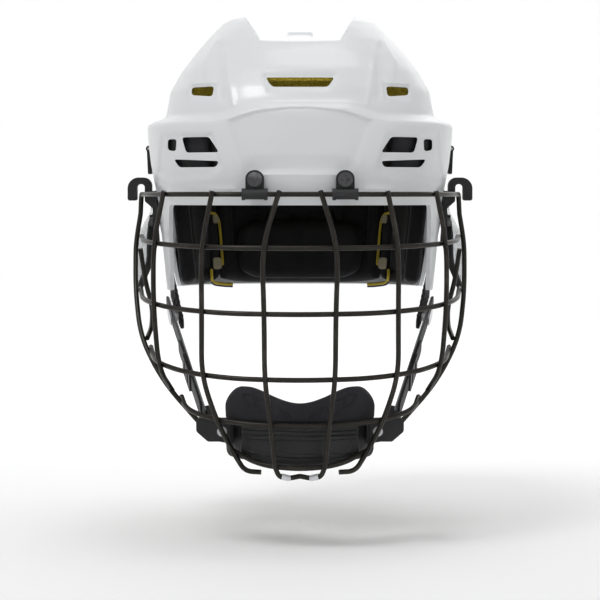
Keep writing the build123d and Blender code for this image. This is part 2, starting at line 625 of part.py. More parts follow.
ear_face = make_face(FilletPolyline(*EAR_OUTLINE, radius=EAR_RADII, close=True))
rim_face = offset(ear_face, RIM_WIDTH) - ear_face
ear_space = extrude(Plane.YZ.offset(EAR_X - 5) * ear_face, amount=40.0)
rim_space = extrude(Plane.YZ.offset(EAR_X - 5) * rim_face, amount=40.0)
cover = bowed_plate(EAR_X, EAR_COVER_THICK) & ear_space
for slot_z in (-44.0, -54.0, -64.0):
    cover -= Pos(EAR_X, EAR_MIDDLE_Y, slot_z) * Box(60, 26, 4.2)
for ear_y in EAR_SCREW_YS:
    cover -= rod_x(EAR_SHANK + HOLE_PLAY, SIDE_IN_X, SIDE_OUT_X, ear_y, EAR_SCREW_Z)
rim = bowed_plate(EAR_X - RIM_STEP, EAR_COVER_THICK + 2 * RIM_STEP) & rim_space
rim &= box_between((-150, -100, -120), (150, 100, -40))
ear_screws = []
for side_name, side in SIDES:
    for kind, shape in (("ear_cover", cover), ("ear_rim", rim)):
        save(f"{kind}_{side_name}", shape if side > 0 else mirror(shape, about=Plane.YZ))
    for ear_y in EAR_SCREW_YS:
        outer_x = EAR_X + EAR_COVER_THICK
        screw = rod_x(EAR_SHANK, side * (EAR_X - 5.0), side * outer_x, ear_y, EAR_SCREW_Z)
        screw += rod_x(3.4, side * outer_x, side * (outer_x + 1.6), ear_y, EAR_SCREW_Z)
        screw -= Pos(side * (outer_x + 1.6), ear_y, EAR_SCREW_Z) * Box(1.6, 4.2, 0.9)
        screw -= Pos(side * (outer_x + 1.6), ear_y, EAR_SCREW_Z) * Box(1.6, 0.9, 4.2)
        ear_screws.append(screw)
save("ear_cover_screws", ear_screws)

# ================================================================= chin cup
CUP_CENTRE_Y = HINGE_Y + 61.0
CUP_RADIUS = 57.0
CUP_LOW_Z = -206.5
CUP_HIGH_Z = -177.0
CUP_HALF_ANGLE = 56.0
PAD_RADIUS = 53.5
CHIN_PAD_THICK = 10.5
CHIN_PAD_HALF_ANGLE = 78.0


def arc_wall(outer_radius, thick, low_z, high_z, half_angle):
    """Upright wall bent round the chin, open towards the neck."""
    ring = Circle(outer_radius) - Circle(outer_radius - thick)
    sweep_angle = math.radians(half_angle)
    far = outer_radius * 3
    edge_x, edge_y = far * math.sin(sweep_angle), -far * math.cos(sweep_angle)
    wedge = make_face(Polyline((0, 0), (edge_x, edge_y), (0, -far * 1.5), (-edge_x, edge_y), close=True))
    return Pos(0, CUP_CENTRE_Y, low_z) * extrude(ring & wedge, amount=high_z - low_z)


cup = arc_wall(CUP_RADIUS, WALL - 0.4, CUP_LOW_Z, CUP_HIGH_Z, CUP_HALF_ANGLE)
cup += arc_wall(CUP_RADIUS, 24.0, CUP_LOW_Z, CUP_LOW_Z + 2.6, CUP_HALF_ANGLE)
flange_x = CUP_RADIUS * math.sin(math.radians(CUP_HALF_ANGLE))
flange_y = CUP_CENTRE_Y - CUP_RADIUS * math.cos(math.radians(CUP_HALF_ANGLE))
CHIN_RIVET = 1.8  # radius
chin_rivet_x = flange_x + 6.0
CHIN_RIVET_Z = -183.0
for _, side in SIDES:
    low_x, high_x = sorted((side * (flange_x - 2.5), side * (flange_x + 10.5)))
    cup += box_between((low_x, flange_y - 0.2, -193), (high_x, flange_y + 2.4, -176))
    cup -= rod_y(CHIN_RIVET + 0.1, side * chin_rivet_x, flange_y - 18, flange_y + 20, CHIN_RIVET_Z)
save("chin_cup", cup)

CHIN_PAD_TOP_Z = -153.0
pad = arc_wall(PAD_RADIUS, CHIN_PAD_THICK, CUP_LOW_Z + 3.0, CHIN_PAD_TOP_Z, CHIN_PAD_HALF_ANGLE)
dip_outline = [(-40, CHIN_PAD_TOP_Z + 5), (-12, CHIN_PAD_TOP_Z - 11), (12, CHIN_PAD_TOP_Z - 11)]
dip_outline.append((40, CHIN_PAD_TOP_Z + 5))
dip = prism(Plane.XZ, dip_outline, [0, 14, 14, 0], 200.0)
pad -= dip
save("chin_pad", pad)

# ================================================================= chin straps
STRAP_FOOT = Vector(CAGE_HALF_WIDTH - 48.0, HINGE_Y + 48.0, -175.0)
STRAP_TOP = Vector(BAND_HALF_WIDTH - 13.0, -14.0, -98.0)
strap_way = (STRAP_TOP - STRAP_FOOT).normalized()
strap_length = (STRAP_TOP - STRAP_FOOT).length
across = Vector(0, -strap_way.Z, strap_way.Y).normalized()
inboard = across.cross(strap_way).normalized()
if inboard.X > 0:
    inboard = inboard * -1
strap_plane = Plane(origin=STRAP_FOOT, x_dir=strap_way, z_dir=inboard)
SNAP_U = strap_length - 18.0
SOCKET_DEPTH = 1.6
HALF_THICK = STRAP_THICK / 2


def strap_disc(radius, u, low_w, high_w):
    """Disc square to the strap, u along it, from low_w to high_w inboard of its middle."""
    disc = Cylinder(radius, high_w - low_w, align=(Align.CENTER, Align.CENTER, Align.MIN))
    return strap_plane * Pos(u, 0, low_w) * disc


def strap_plate(points, radii, low_w, high_w):
    """Plate parallel to the strap from an outline along and across it."""
    outline = make_face(FilletPolyline(*points, radius=radii, close=True))
    return extrude(strap_plane.offset(low_w) * outline, amount=high_w - low_w)


def both_sides(shape):
    """A left piece and its mirror image."""
    return (("left", shape), ("right", mirror(shape, about=Plane.YZ)))


half = STRAP_WIDTH / 2
strap = strap_plate(
    [(-half, -half), (strap_length, -half), (strap_length, half), (-half, half)],
    [half - 0.5, 4, 4, half - 0.5],
    -HALF_THICK,
    HALF_THICK,
)
strap -= strap_disc(STRAP_PIN + RUNNING, 0, -5, 5)
socket = strap_disc(5.6, SNAP_U, HALF_THICK, HALF_THICK + SOCKET_DEPTH)
socket -= strap_disc(2.6, SNAP_U, HALF_THICK + 0.4, HALF_THICK + SOCKET_DEPTH + 1)
cap = strap_disc(6.2, SNAP_U, -HALF_THICK - 1.4, -HALF_THICK)
ADJUSTER_HALF = STRAP_WIDTH / 2 + 2.0
adjuster_outline = [(34, -ADJUSTER_HALF), (56, -ADJUSTER_HALF), (56, ADJUSTER_HALF), (34, ADJUSTER_HALF)]
adjuster = strap_plate(adjuster_outline, [2.5] * 4, -HALF_THICK - 2.4, -HALF_THICK)
adjuster -= strap_plate([(39, -7), (42, -7), (42, 7), (39, 7)], [0.8] * 4, -6, -HALF_THICK + 0.1)
adjuster -= strap_plate([(48, -7), (51, -7), (51, 7), (48, 7)], [0.8] * 4, -6, -HALF_THICK + 0.1)
STUD_LOW = HALF_THICK + SOCKET_DEPTH + SNAP_PITCH
WEB_LOW = STUD_LOW + 1.6
WEB_THICK = 1.4
stud = strap_disc(4.2, SNAP_U, STUD_LOW, WEB_LOW)
web = strap_plate(
    [(SNAP_U - 9, -7), (SNAP_U - 9, 7), (SNAP_U + 8, 19), (SNAP_U + 26, 14), (SNAP_U + 14, -8)],
    [4, 4, 3, 3, 3],
    WEB_LOW,
    WEB_LOW + WEB_THICK,
)
web_middle = strap_plane.from_local_coords(Vector(SNAP_U + 10, 4, WEB_LOW + WEB_THICK / 2))
for ear_y in EAR_SCREW_YS:
    hang = Vector(EAR_X - 0.85, ear_y, EAR_SCREW_Z + 4)
    way = hang - web_middle
    level = Vector(0, -way.Z, way.Y).normalized()
    facing = way.cross(level).normalized()
    leg_plane = Plane(origin=web_middle, x_dir=way, z_dir=facing)
    leg = extrude(leg_plane * Pos(way.length / 2, 0) * Rectangle(way.length, 11.0), amount=0.6, both=True)
    web += leg
    web -= rod_x(EAR_SHANK + HOLE_PLAY, SIDE_IN_X, SIDE_OUT_X, ear_y, EAR_SCREW_Z)
for kind, piece in (("chin_strap", strap), ("strap_adjuster", adjuster), ("ear_webbing", web)):
    for name, shape in both_sides(piece):
        save(f"{kind}_{name}", shape)
for name, shape in both_sides(Compound(children=[socket, cap])):
    save(f"snap_socket_{name}", [shape])
save("snap_studs", [shape for _, shape in both_sides(stud)])

# Chin clips hold the rails' lower ends, the cup's flanges and the pins that the straps turn on.
CHIN_CLIP_OUT = CAGE_HALF_WIDTH - 43.0  # outer face
CHIN_CLIP_HIGH = -174.0
CHIN_CLIP_LOW = -190.0
CHIN_CLIP_THICK = 6.5
clip_outline = [
    (flange_x + 0.6, CHIN_CLIP_LOW),
    (flange_x + 0.6, CHIN_CLIP_HIGH),
    (CHIN_CLIP_OUT, CHIN_CLIP_HIGH),
    (CHIN_CLIP_OUT, CHIN_CLIP_HIGH - 9.0),
    (CHIN_CLIP_OUT - 8.0, CHIN_CLIP_LOW),
]
clip_back = flange_y - 0.5
clip_rounding = [2.5, 2.5, 3.0, 3.0, 3.0]
BOSS_REACH = 18.0 - STRAP_WIDTH / 2  # how far the boss for the strap's pin stands behind the clip
block = prism(Plane.XZ.offset(-clip_back), clip_outline, clip_rounding, CHIN_CLIP_THICK, both=False)
boss_plane = Plane.XZ.offset(-clip_back - BOSS_REACH)
boss = prism(boss_plane, clip_outline, clip_rounding, CHIN_CLIP_THICK + BOSS_REACH, both=False)
block += boss & box_between((flange_x + 11, -200, -300), (200, 0, 0))
lug_low = HALF_THICK + RUNNING
lug = strap_plate([(-19, -6.5), (6.5, -6.5), (6.5, 6.5), (-19, 6.5)], [0, 5, 5, 0], lug_low, lug_low + 3.4)
clip = block + lug
clip -= rod_y(CHIN_RIVET + 0.1, chin_rivet_x, flange_y - 18, flange_y + 20, CHIN_RIVET_Z)
clip -= bent_rod(rail_path, WIRE + 0.1)
clip -= strap_disc(STRAP_PIN + 0.02, 0, -5, 10)
for name, shape in both_sides(clip):
    save(f"chin_clip_{name}", shape)
pin = strap_disc(STRAP_PIN, 0, -HALF_THICK - RUNNING, lug_low + 3.4)
pin += strap_disc(3.8, 0, -HALF_THICK - RUNNING - 1.2, -HALF_THICK - RUNNING)
save("strap_pins", [shape for _, shape in both_sides(pin)])
rivet = rod_y(CHIN_RIVET, chin_rivet_x, flange_y - 7.0, flange_y + 2.4, CHIN_RIVET_Z)
rivet += rod_y(3.4, chin_rivet_x, flange_y - 8.2, flange_y - 7.0, CHIN_RIVET_Z)
rivet += rod_y(3.0, chin_rivet_x, flange_y + 2.4, flange_y + 3.4, CHIN_RIVET_Z)
save("chin_rivets", [shape for _, shape in both_sides(rivet)])

# ================================================================= size levers and guide screws
lever_outline = [
    (LEVER_X - 2.1, LEVER_Z - 1.0),
    (LEVER_X + 1.6, LEVER_Z - 1.0),
    (LEVER_X + 0.8, LEVER_Z - 19.0),
    (LEVER_X - 2.1, LEVER_Z - 18.0),
]
middle_y = sum(LEVER_Y) / 2
lever = prism(Plane.XZ.offset(-middle_y), lever_outline, [0, 0, 0.8, 0.8], (LEVER_Y[1] - LEVER_Y[0]) / 2)
lever += rod_y(2.3, LEVER_X, *LEVER_Y, LEVER_Z)
lever -= rod_y(LEVER_PIN + RUNNING, LEVER_X, LEVER_Y[0] - 1, LEVER_Y[1] + 1, LEVER_Z)
for name, shape in both_sides(lever):
    save(f"size_lever_{name}", shape)
pin = rod_y(LEVER_PIN, LEVER_X, LEVER_LUGS[0][0], LEVER_LUGS[1][1], LEVER_Z)
save("lever_pins", [shape for _, shape in both_sides(pin)])
guide_skin = shell_section(GUIDE_Z + 4)[0]
guide = rod_x(GUIDE_SHANK, guide_skin - 6.2, guide_skin + 0.2, GUIDE_Y, GUIDE_Z)
guide += rod_x(3.4, guide_skin + 0.2, guide_skin + 1.8, GUIDE_Y, GUIDE_Z)
guide -= Pos(guide_skin + 1.8, GUIDE_Y, GUIDE_Z) * Box(1.6, 4.4, 0.9)
guide -= Pos(guide_skin + 1.8, GUIDE_Y, GUIDE_Z) * Box(1.6, 0.9, 4.4)
save("guide_screws", [shape for _, shape in both_sides(guide)])
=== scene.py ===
import math

import bmesh
import bpy
import numpy as np
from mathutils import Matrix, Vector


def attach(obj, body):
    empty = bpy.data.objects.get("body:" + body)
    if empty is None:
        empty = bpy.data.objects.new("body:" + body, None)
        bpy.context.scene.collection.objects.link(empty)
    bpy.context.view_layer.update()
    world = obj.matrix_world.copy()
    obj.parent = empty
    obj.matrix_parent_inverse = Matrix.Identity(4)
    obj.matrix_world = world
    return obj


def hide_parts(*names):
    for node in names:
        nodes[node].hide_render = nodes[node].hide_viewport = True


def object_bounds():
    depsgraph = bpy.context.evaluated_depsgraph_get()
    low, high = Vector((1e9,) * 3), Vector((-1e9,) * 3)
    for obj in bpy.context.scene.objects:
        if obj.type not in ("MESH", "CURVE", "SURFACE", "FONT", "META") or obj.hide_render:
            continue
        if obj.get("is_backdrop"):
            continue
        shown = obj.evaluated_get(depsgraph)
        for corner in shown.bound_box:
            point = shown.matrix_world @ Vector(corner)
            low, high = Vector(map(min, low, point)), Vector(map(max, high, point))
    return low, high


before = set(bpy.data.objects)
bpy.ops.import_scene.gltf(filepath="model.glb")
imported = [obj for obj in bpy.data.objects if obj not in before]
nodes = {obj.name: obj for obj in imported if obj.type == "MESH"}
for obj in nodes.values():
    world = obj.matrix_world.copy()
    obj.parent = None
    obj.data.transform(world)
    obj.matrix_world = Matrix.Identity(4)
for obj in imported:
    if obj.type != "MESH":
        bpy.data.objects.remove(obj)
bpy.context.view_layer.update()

# ---------------------------------------------------------------- front shell
# One injection-moulded polyethylene half: brow band, sunk forehead panel, vents, crown channel
# and a lobe in front of each ear. It is 3 mm thick, white and satin, and carries all fittings.
MM = 0.001


def build(name, places, faces, smooth=True):
    """Mesh object in metres from places in millimetres, an (n, 3) array, and lists of corners."""
    mesh = bpy.data.meshes.new(name)
    mesh.from_pydata((np.asarray(places, float) * MM).tolist(), [], [list(map(int, f)) for f in faces])
    mesh.validate()
    mesh.polygons.foreach_set("use_smooth", np.full(len(mesh.polygons), smooth))
    piece = bpy.data.objects.new(name, mesh)
    bpy.context.scene.collection.objects.link(piece)
    return piece


def quads(rows, columns, round_columns=False, flip=False):
    """Corner numbers of a rows by columns grid of points, row by row."""
    last = columns if round_columns else columns - 1
    r, c = np.meshgrid(np.arange(rows - 1), np.arange(last), indexing="ij")
    right = (c + 1) % columns
    ring = [r * columns + c, r * columns + right, (r + 1) * columns + right, (r + 1) * columns + c]
    corners = np.stack([part.ravel() for part in ring], axis=1)
    return corners[:, ::-1] if flip else corners


def grid_piece(name, x, y, z, flip=False):
    """Open sheet whose points are the grids x, y and z, in millimetres."""
    return build(name, np.stack([x, y, z], axis=-1).reshape(-1, 3), quads(*x.shape, flip=flip))


def step(value, low, high):
    """Smooth step: 0 up to low, 1 from high, and a cubic S between."""
    share = np.clip((value - low) / (high - low), 0, 1)
    return share * share * (3 - 2 * share)


def bell(value, centre, width):
    """Gaussian bump of height 1."""
    return np.exp(-(((value - centre) / width) ** 2))


def inside(x, z, outline, soft):
    """1 within a convex outline of x-z corners, falling to 0 over soft millimetres at its edge."""
    corners = np.array(outline, float)
    nearest = np.full(np.shape(x), np.inf)
    turn = np.sign(np.cross(corners[1] - corners[0], corners[2] - corners[1]))
    for start, end in zip(corners, np.roll(corners, -1, axis=0)):
        run = end - start
        depth = turn * (run[0] * (z - start[1]) - run[1] * (x - start[0])) / np.hypot(*run)
        nearest = np.minimum(nearest, depth)
    return step(nearest, 0, soft)


def near_line(x, z, start, end, width):
    """Bump along a straight line in x-z, gaussian across it."""
    start, end = np.array(start, float), np.array(end, float)
    run = end - start
    share = np.clip(((x - start[0]) * run[0] + (z - start[1]) * run[1]) / run.dot(run), 0, 1)
    gap = np.hypot(x - start[0] - share * run[0], z - start[1] - share * run[1])
    return np.exp(-((gap / width) ** 2))


# Outer form by height: half width, reach to the front, reach to the rear. The step near 30 mm
# is the brow band's upper edge.
# Each row: height, half width, reach to the front, reach to the rear.
FORM = np.array([
    (-92, 96.0, 136, 122), (-60, 99.0, 139.5, 131), (-28.5, 102.0, 143, 138),
    (0, 107.5, 146, 143), (18, 109.6, 145.6, 144), (26.5, 110.0, 145, 144),
    (28.6, 109.0, 144.3, 143.8), (30.5, 105.0, 142.6, 143.2), (32.4, 99.6, 140.4, 142.4),
    (34.2, 97.0, 139.2, 141.6), (37, 96.2, 138.4, 140.6), (52, 93.5, 131, 134),
    (66, 85.8, 120.6, 124), (78, 76.8, 108, 113), (88, 68.6, 93.5, 99),
    (96, 61.5, 78, 84), (101.5, 56.0, 65, 73), (104.6, 51.0, 55, 64),
    (106, 45.0, 46, 56), (106.4, 36.0, 36, 50), (106.4, 0.0, 10, 45),
])
FRONT_Y, REAR_Y = -10.0, 45.0  # the sides are straight between these
SEAM_Y = 46.0
WALL = 3.0
travel = np.concatenate([[0], np.cumsum(np.hypot(np.diff(FORM[:, 0]), np.diff(FORM[:, 1])))])


def form_at(place):
    """Height, half width, front reach and rear reach at a distance along the profile."""
    return [np.interp(place, travel, FORM[:, column]) for column in range(4)]


def arc_even(fullness, count, width, reach):
    """Angles, from 0 to pi, that space points evenly along half a superellipse."""
    turn = np.linspace(0, np.pi, 6001)
    x = width * np.sign(np.cos(turn)) * np.abs(np.cos(turn)) ** (2 / fullness)
    y = reach * np.abs(np.sin(turn)) ** (2 / fullness)
    length = np.concatenate([[0], np.cumsum(np.hypot(np.diff(x), np.diff(y)))])
    return np.interp(np.linspace(0, length[-1], count), length, turn)


def plan(width, reach, turn, start_y, way, fullness):
    """x and y of half a superellipse: x = w cos^(2/n), y = start + way (reach - |start|) sin^(2/n)."""
    x = width * np.sign(np.cos(turn)) * np.abs(np.cos(turn)) ** (2 / fullness)
    y = start_y + way * (reach - abs(start_y)) * np.abs(np.sin(turn)) ** (2 / fullness)
    return x, y


def sheet_rows(low_z, rows_low, rows_high, crisp):
    """Distances along the profile for every row and column, from each column's lower edge up.

    The first rows spread between the lower edge and -20 mm. The rest are the same for every
    column, and closer together where crisp gives (centre, width, weight) along the profile.
    """
    low_place = np.interp(low_z, FORM[:4, 0], travel[:4])
    shared = np.interp(-20, FORM[:4, 0], travel[:4])
    below = low_place + np.linspace(0, 1, rows_low)[:-1, None] * (shared - low_place)
    fine = np.linspace(shared, travel[-1], 4000)
    weight = 1 + sum(w * bell(fine, c, s) for c, s, w in crisp)
    total = np.concatenate([[0], np.cumsum((weight[1:] + weight[:-1]) / 2)])
    above = np.interp(np.linspace(0, total[-1], rows_high), total, fine)
    return np.vstack([below, np.repeat(above[:, None], len(low_z), axis=1)])


BAND_PLACE = np.interp(30.5, FORM[:14, 0], travel[:14])
RIDGE_PLACE = np.interp(104, FORM[:19, 0], travel[:19])
VENTS = {
    "crown": [(-23.5, 58.5), (23.5, 58.5), (19.0, 52.0), (-19.0, 52.0)],
    "side": [(59.0, 53.0), (75.0, 53.0), (75.0, 47.5), (60.0, 46.0)],
    "large": [(55.0, 7.5), (62.0, 18.0), (81.0, 18.0), (78.0, 7.5)],
    "small": [(85.5, 8.5), (85.0, 17.0), (91.5, 17.0), (91.5, 9.5)],
    "slot": [(55.0, 1.5), (87.0, 3.0), (83.0, -2.5), (57.0, -2.5)],
}

# Raised creases: start and end in x-z, height, width. Three run down the crown and two along
# the brim.
CREASES = (
    ((56, 96), (45.5, 41), 0.9, 1.7), ((58, 88), (66, 72), 0.7, 1.6), ((66, 72), (61, 45), 0.7, 1.6),
    ((101, -13), (90, -19.5), 1.2, 1.8), ((90, -19.5), (44, -17.5), 1.2, 1.8),
)


def front_relief(x, y, z):
    """How far the front half stands out from its plain form, in millimetres, at each point."""
    side = np.abs(x)
    face = step(-y, 20, 60)
    panel_outline = [(-80, -7), (-80, 40), (8, 38.5), (30, 36), (50, 29.5), (37.5, -4.5), (35, -7)]
    panel = inside(side, z, panel_outline, 2.2)
    shelf = inside(side, z, [(-80, -5.5), (-80, 3.6), (35, 3.6), (37, -5.5)], 1.6)
    window = inside(side, z, [(51, -3), (60, 21.5), (97, 21.5), (101, -6), (93, -12), (62, -10)], 2.0)
    lift = -2.0 * panel - 0.8 * shelf - 1.3 * window
    for name, outline in VENTS.items():
        centre = np.mean(outline, axis=0)
        grown = [centre + (np.array(p) - centre) * 1.0 + np.sign(np.array(p) - centre) * 2.6 for p in outline]
        where = x if name == "crown" else side
        lift = lift - (1.9 if name in ("crown", "side") else 0.5) * inside(where, z, grown, 1.8)
    for start, end, height, width in CREASES[:3]:
        lift = lift + height * near_line(side, z, start, end, width)
    lift = lift - 1.3 * inside(side, z, [(50, 86), (60, 86), (63, 70), (58, 44), (50, 40)], 5)
    for start, end, height, width in CREASES[3:]:
        lift = lift + height * near_line(side, z, start, end, width)
    return lift * face


def skin(turn_columns, sides, start_y, way, fullness, low_edge, rows, crisp, inset):
    """Grid of points of one shell half: its straight sides and its rounded end.

    turn_columns are the angles round the end, and sides the y values of a straight side, in
    order towards the end. inset(y) draws the form in.
    """
    side_y = np.asarray(sides, float)
    ends = turn_columns[1:-1]
    count = len(side_y)
    _, band_y = plan(110, 145, turn_columns, start_y, way, fullness)
    columns_y = np.concatenate([side_y, band_y[1:-1], side_y[::-1]])
    place = sheet_rows(low_edge(columns_y), *rows, crisp)
    z, width, front, rear = form_at(place)
    reach = front if way < 0 else rear
    x = np.empty_like(z)
    y = np.empty_like(z)
    x[:, :count], y[:, :count] = width[:, :count], side_y
    x[:, -count:], y[:, -count:] = -width[:, -count:], side_y[::-1]
    x[:, count:-count], y[:, count:-count] = plan(
        width[:, count:-count], reach[:, count:-count], ends, start_y, way, fullness
    )
    shrink = inset(y)
    hug = np.clip(width / 12, 0, 1)
    x = x - np.sign(x) * np.minimum(shrink, np.abs(x)) * hug * np.abs(x) / np.maximum(width, 1e-6)
    beyond = np.clip((y - start_y) * way / np.maximum(reach - abs(start_y), 1e-6), 0, 1)
    y = y - way * shrink * beyond * hug
    z = z - shrink * step(z, 60, 104)
    return x, y, z


def low_front(y):
    """Lower edge of the front shell by y: brim, then the ear lobe, then above the ear."""
    lobe = step(y, -92, -68) * (1 - step(y, -46, -21))
    return -28.5 - 60.5 * lobe - 1.5 * step(y, -30, -10) * (1 - step(y, 10, 40))


def channel_floor(y):
    """Height of the crown channel's floor: it climbs by 16 mm from its front edge to the middle."""
    return 84.6 + 16.0 * np.clip((y + 98) / 98, 0, 1) ** 0.9


def channel(x, y, z):
    """Height after the crown channel: a floor between the two ridges, with sloping walls."""
    floor = channel_floor(y)
    half = 28.5 + 6.5 * step(y, -95, 0)
    tab = step(y, -74, -71) * (1 - step(y, -40, -37)) * (1 - step(np.abs(x), 7.4, 9.4))
    floor = floor - 1.5 * tab
    return np.minimum(z, floor + 1.7 * np.maximum(0, np.abs(x) - half))


turns = arc_even(2.6, 236, 110, 135)
sides = np.linspace(SEAM_Y, FRONT_Y, 26)
crisp_rows = [(BAND_PLACE, 9, 3.0), (RIDGE_PLACE, 14, 1.2)]
x, y, z = skin(turns, sides, FRONT_Y, -1, 2.6, low_front, (22, 112), crisp_rows, lambda y: 0 * y)
lift_band = 7.0 * (1 - step(np.abs(x), 28, 62)) * bell(z, 31, 9) * step(-y, 60, 110)
z = z + lift_band
relief = front_relief(x, y, z)
spread = np.hypot(x / 110, (y - FRONT_Y) / 135) + 1e-6
away_x, away_y = x / 110 / spread, np.minimum(0, y - FRONT_Y) / 135 / spread
x, y = x + relief * away_x, y + relief * away_y
z = channel(x, y, z)
front_shell = grid_piece("front_shell_skin", x, y, z, flip=True)


def merge_and_face(piece, gap=0.02):
    """Join doubled points and turn all faces outwards."""
    work = bmesh.new()
    work.from_mesh(piece.data)
    bmesh.ops.remove_doubles(work, verts=work.verts, dist=gap * MM)
    bmesh.ops.recalc_face_normals(work, faces=work.faces)
    work.to_mesh(piece.data)
    work.free()


def bake_modifiers(piece):
    """Replace the mesh by its result after the modifiers, and drop them."""
    graph = bpy.context.evaluated_depsgraph_get()
    mesh = bpy.data.meshes.new_from_object(piece.evaluated_get(graph))
    old = piece.data
    piece.modifiers.clear()
    piece.data = mesh
    bpy.data.meshes.remove(old)


def face_outward(piece):
    """Turn an open dome's faces away from the head's centre."""
    mesh = piece.data
    centres = np.empty(len(mesh.polygons) * 3)
    normals = np.empty(len(mesh.polygons) * 3)
    mesh.polygons.foreach_get("center", centres)
    mesh.polygons.foreach_get("normal", normals)
    centres, normals = centres.reshape(-1, 3), normals.reshape(-1, 3)
    if np.mean(np.sum(centres * normals, axis=1)) < 0:
        mesh.flip_normals()


def rounded(outline, radius, points=5):
    """Closed outline with each corner replaced by an arc-like quadratic curve."""
    corners = np.array(outline, float)
    result = []
    for before, corner, after in zip(np.roll(corners, 1, 0), corners, np.roll(corners, -1, 0)):
        back, ahead = before - corner, after - corner
        cut = min(radius, 0.45 * np.hypot(*back), 0.45 * np.hypot(*ahead))
        a, b = corner + back / np.hypot(*back) * cut, corner + ahead / np.hypot(*ahead) * cut
        for s in np.linspace(0, 1, points):
            result.append((1 - s) ** 2 * a + 2 * s * (1 - s) * corner + s * s * b)
    return np.array(result)


def prism_y(name, outline, y0, y1):
    """Closed prism along y from an x-z outline."""
    count = len(outline)
    flat = np.array(outline, float)
    places = np.concatenate([np.insert(flat, 1, y0, axis=1), np.insert(flat, 1, y1, axis=1)])
    walls = [(i, (i + 1) % count, count + (i + 1) % count, count + i) for i in range(count)]
    caps = [tuple(range(count))[::-1], tuple(range(count, 2 * count))]
    piece = build(name, places, walls + caps, smooth=False)
    merge_and_face(piece)
    return piece


def carve(piece, cutters):
    """Subtract the cutters from a piece and delete them."""
    for cutter in cutters:
        tool = piece.modifiers.new("carve", "BOOLEAN")
        tool.operation, tool.solver, tool.object = "DIFFERENCE", "EXACT", cutter
    bake_modifiers(piece)
    for cutter in cutters:
        bpy.data.objects.remove(cutter)


def thicken(piece, wall, offset=-1):
    """Give an open skin a wall, inwards."""
    shell = piece.modifiers.new("wall", "SOLIDIFY")
    shell.thickness, shell.offset = wall * MM, offset
    shell.use_quality_normals = True
    bake_modifiers(piece)


def soften(piece, degrees=32):
    """Shade smooth except across edges sharper than the angle."""
    piece.data.polygons.foreach_set("use_smooth", np.full(len(piece.data.polygons), True))
    piece.data.set_sharp_from_angle(angle=math.radians(degrees))


merge_and_face(front_shell)
face_outward(front_shell)
thicken(front_shell, WALL)
cutters = []
for kind, outline in VENTS.items():
    for way in ((1,) if kind == "crown" else (1, -1)):
        shape = rounded([(way * px, pz) for px, pz in outline], 2.2)
        cutters.append(prism_y(f"cut_{kind}_{way}", shape, -170, -30))
carve(front_shell, cutters)
soften(front_shell)


def group(name, inputs, outputs):
    """New shader group with its sockets; inputs are (name, kind, default)."""
    tree = bpy.data.node_groups.new(name, "ShaderNodeTree")
    for title, kind, value in inputs:
        socket = tree.interface.new_socket(name=title, in_out="INPUT", socket_type=kind)
        socket.default_value = value
    for title, kind in outputs:
        tree.interface.new_socket(name=title, in_out="OUTPUT", socket_type=kind)
    return tree, tree.nodes.new("NodeGroupInput"), tree.nodes.new("NodeGroupOutput")


def noise(tree, scale, detail, coordinate):
    """Noise texture on object coordinates."""
    texture = tree.nodes.new("ShaderNodeTexNoise")
    texture.inputs["Scale"].default_value = scale
    texture.inputs["Detail"].default_value = detail
    tree.links.new(coordinate, texture.inputs["Vector"])
    return texture


def blend_colour(tree, factor, first, second):
    """Mix of two colours by a factor socket."""
    mix = tree.nodes.new("ShaderNodeMix")
    mix.data_type = "RGBA"
    for socket, value in ((mix.inputs[0], factor), (mix.inputs[6], first), (mix.inputs[7], second)):
        if hasattr(value, "is_linked"):
            tree.links.new(value, socket)
        else:
            socket.default_value = value
    return mix.outputs[2]


def arithmetic(tree, operation, first, second):
    """One math node on sockets or numbers."""
    node = tree.nodes.new("ShaderNodeMath")
    node.operation = operation
    for socket, value in zip(node.inputs, (first, second)):
        if hasattr(value, "is_linked"):
            tree.links.new(value, socket)
        else:
            socket.default_value = value
    return node.outputs[0]


# Moulded surface: fine grain, broad flow marks and faint handling scuffs.
moulded, took, gave = group(
    "moulded_surface",
    [
        ("Colour", "NodeSocketColor", (0.8, 0.8, 0.8, 1)),
        ("Worn Colour", "NodeSocketColor", (0.6, 0.6, 0.6, 1)),
        ("Roughness", "NodeSocketFloat", 0.4), ("Grain", "NodeSocketFloat", 0.2),
        ("Scuffs", "NodeSocketFloat", 0.3),
    ],
    [("Colour", "NodeSocketColor"), ("Roughness", "NodeSocketFloat"), ("Height", "NodeSocketFloat")],
)
where = moulded.nodes.new("ShaderNodeTexCoord").outputs["Object"]
grain_noise = noise(moulded, 1400, 3, where).outputs["Fac"]
flow = noise(moulded, 22, 4, where).outputs["Fac"]
scuff_noise = noise(moulded, 160, 6, where).outputs["Fac"]
scuff_mask = arithmetic(moulded, "GREATER_THAN", scuff_noise, 0.66)
scuff = arithmetic(moulded, "MULTIPLY", scuff_mask, took.outputs["Scuffs"])
flow_share = arithmetic(moulded, "MULTIPLY", flow, 0.22)
tinted = blend_colour(moulded, flow_share, took.outputs["Colour"], took.outputs["Worn Colour"])
scuff_share = arithmetic(moulded, "MULTIPLY", scuff, 0.35)
worn = blend_colour(moulded, scuff_share, tinted, took.outputs["Worn Colour"])
moulded.links.new(worn, gave.inputs["Colour"])
varied = arithmetic(moulded, "ADD", took.outputs["Roughness"], arithmetic(moulded, "MULTIPLY", flow, 0.1))
rubbed = arithmetic(moulded, "ADD", varied, arithmetic(moulded, "MULTIPLY", scuff, 0.12))
moulded.links.new(rubbed, gave.inputs["Roughness"])
moulded.links.new(arithmetic(moulded, "MULTIPLY", grain_noise, took.outputs["Grain"]), gave.inputs["Height"])


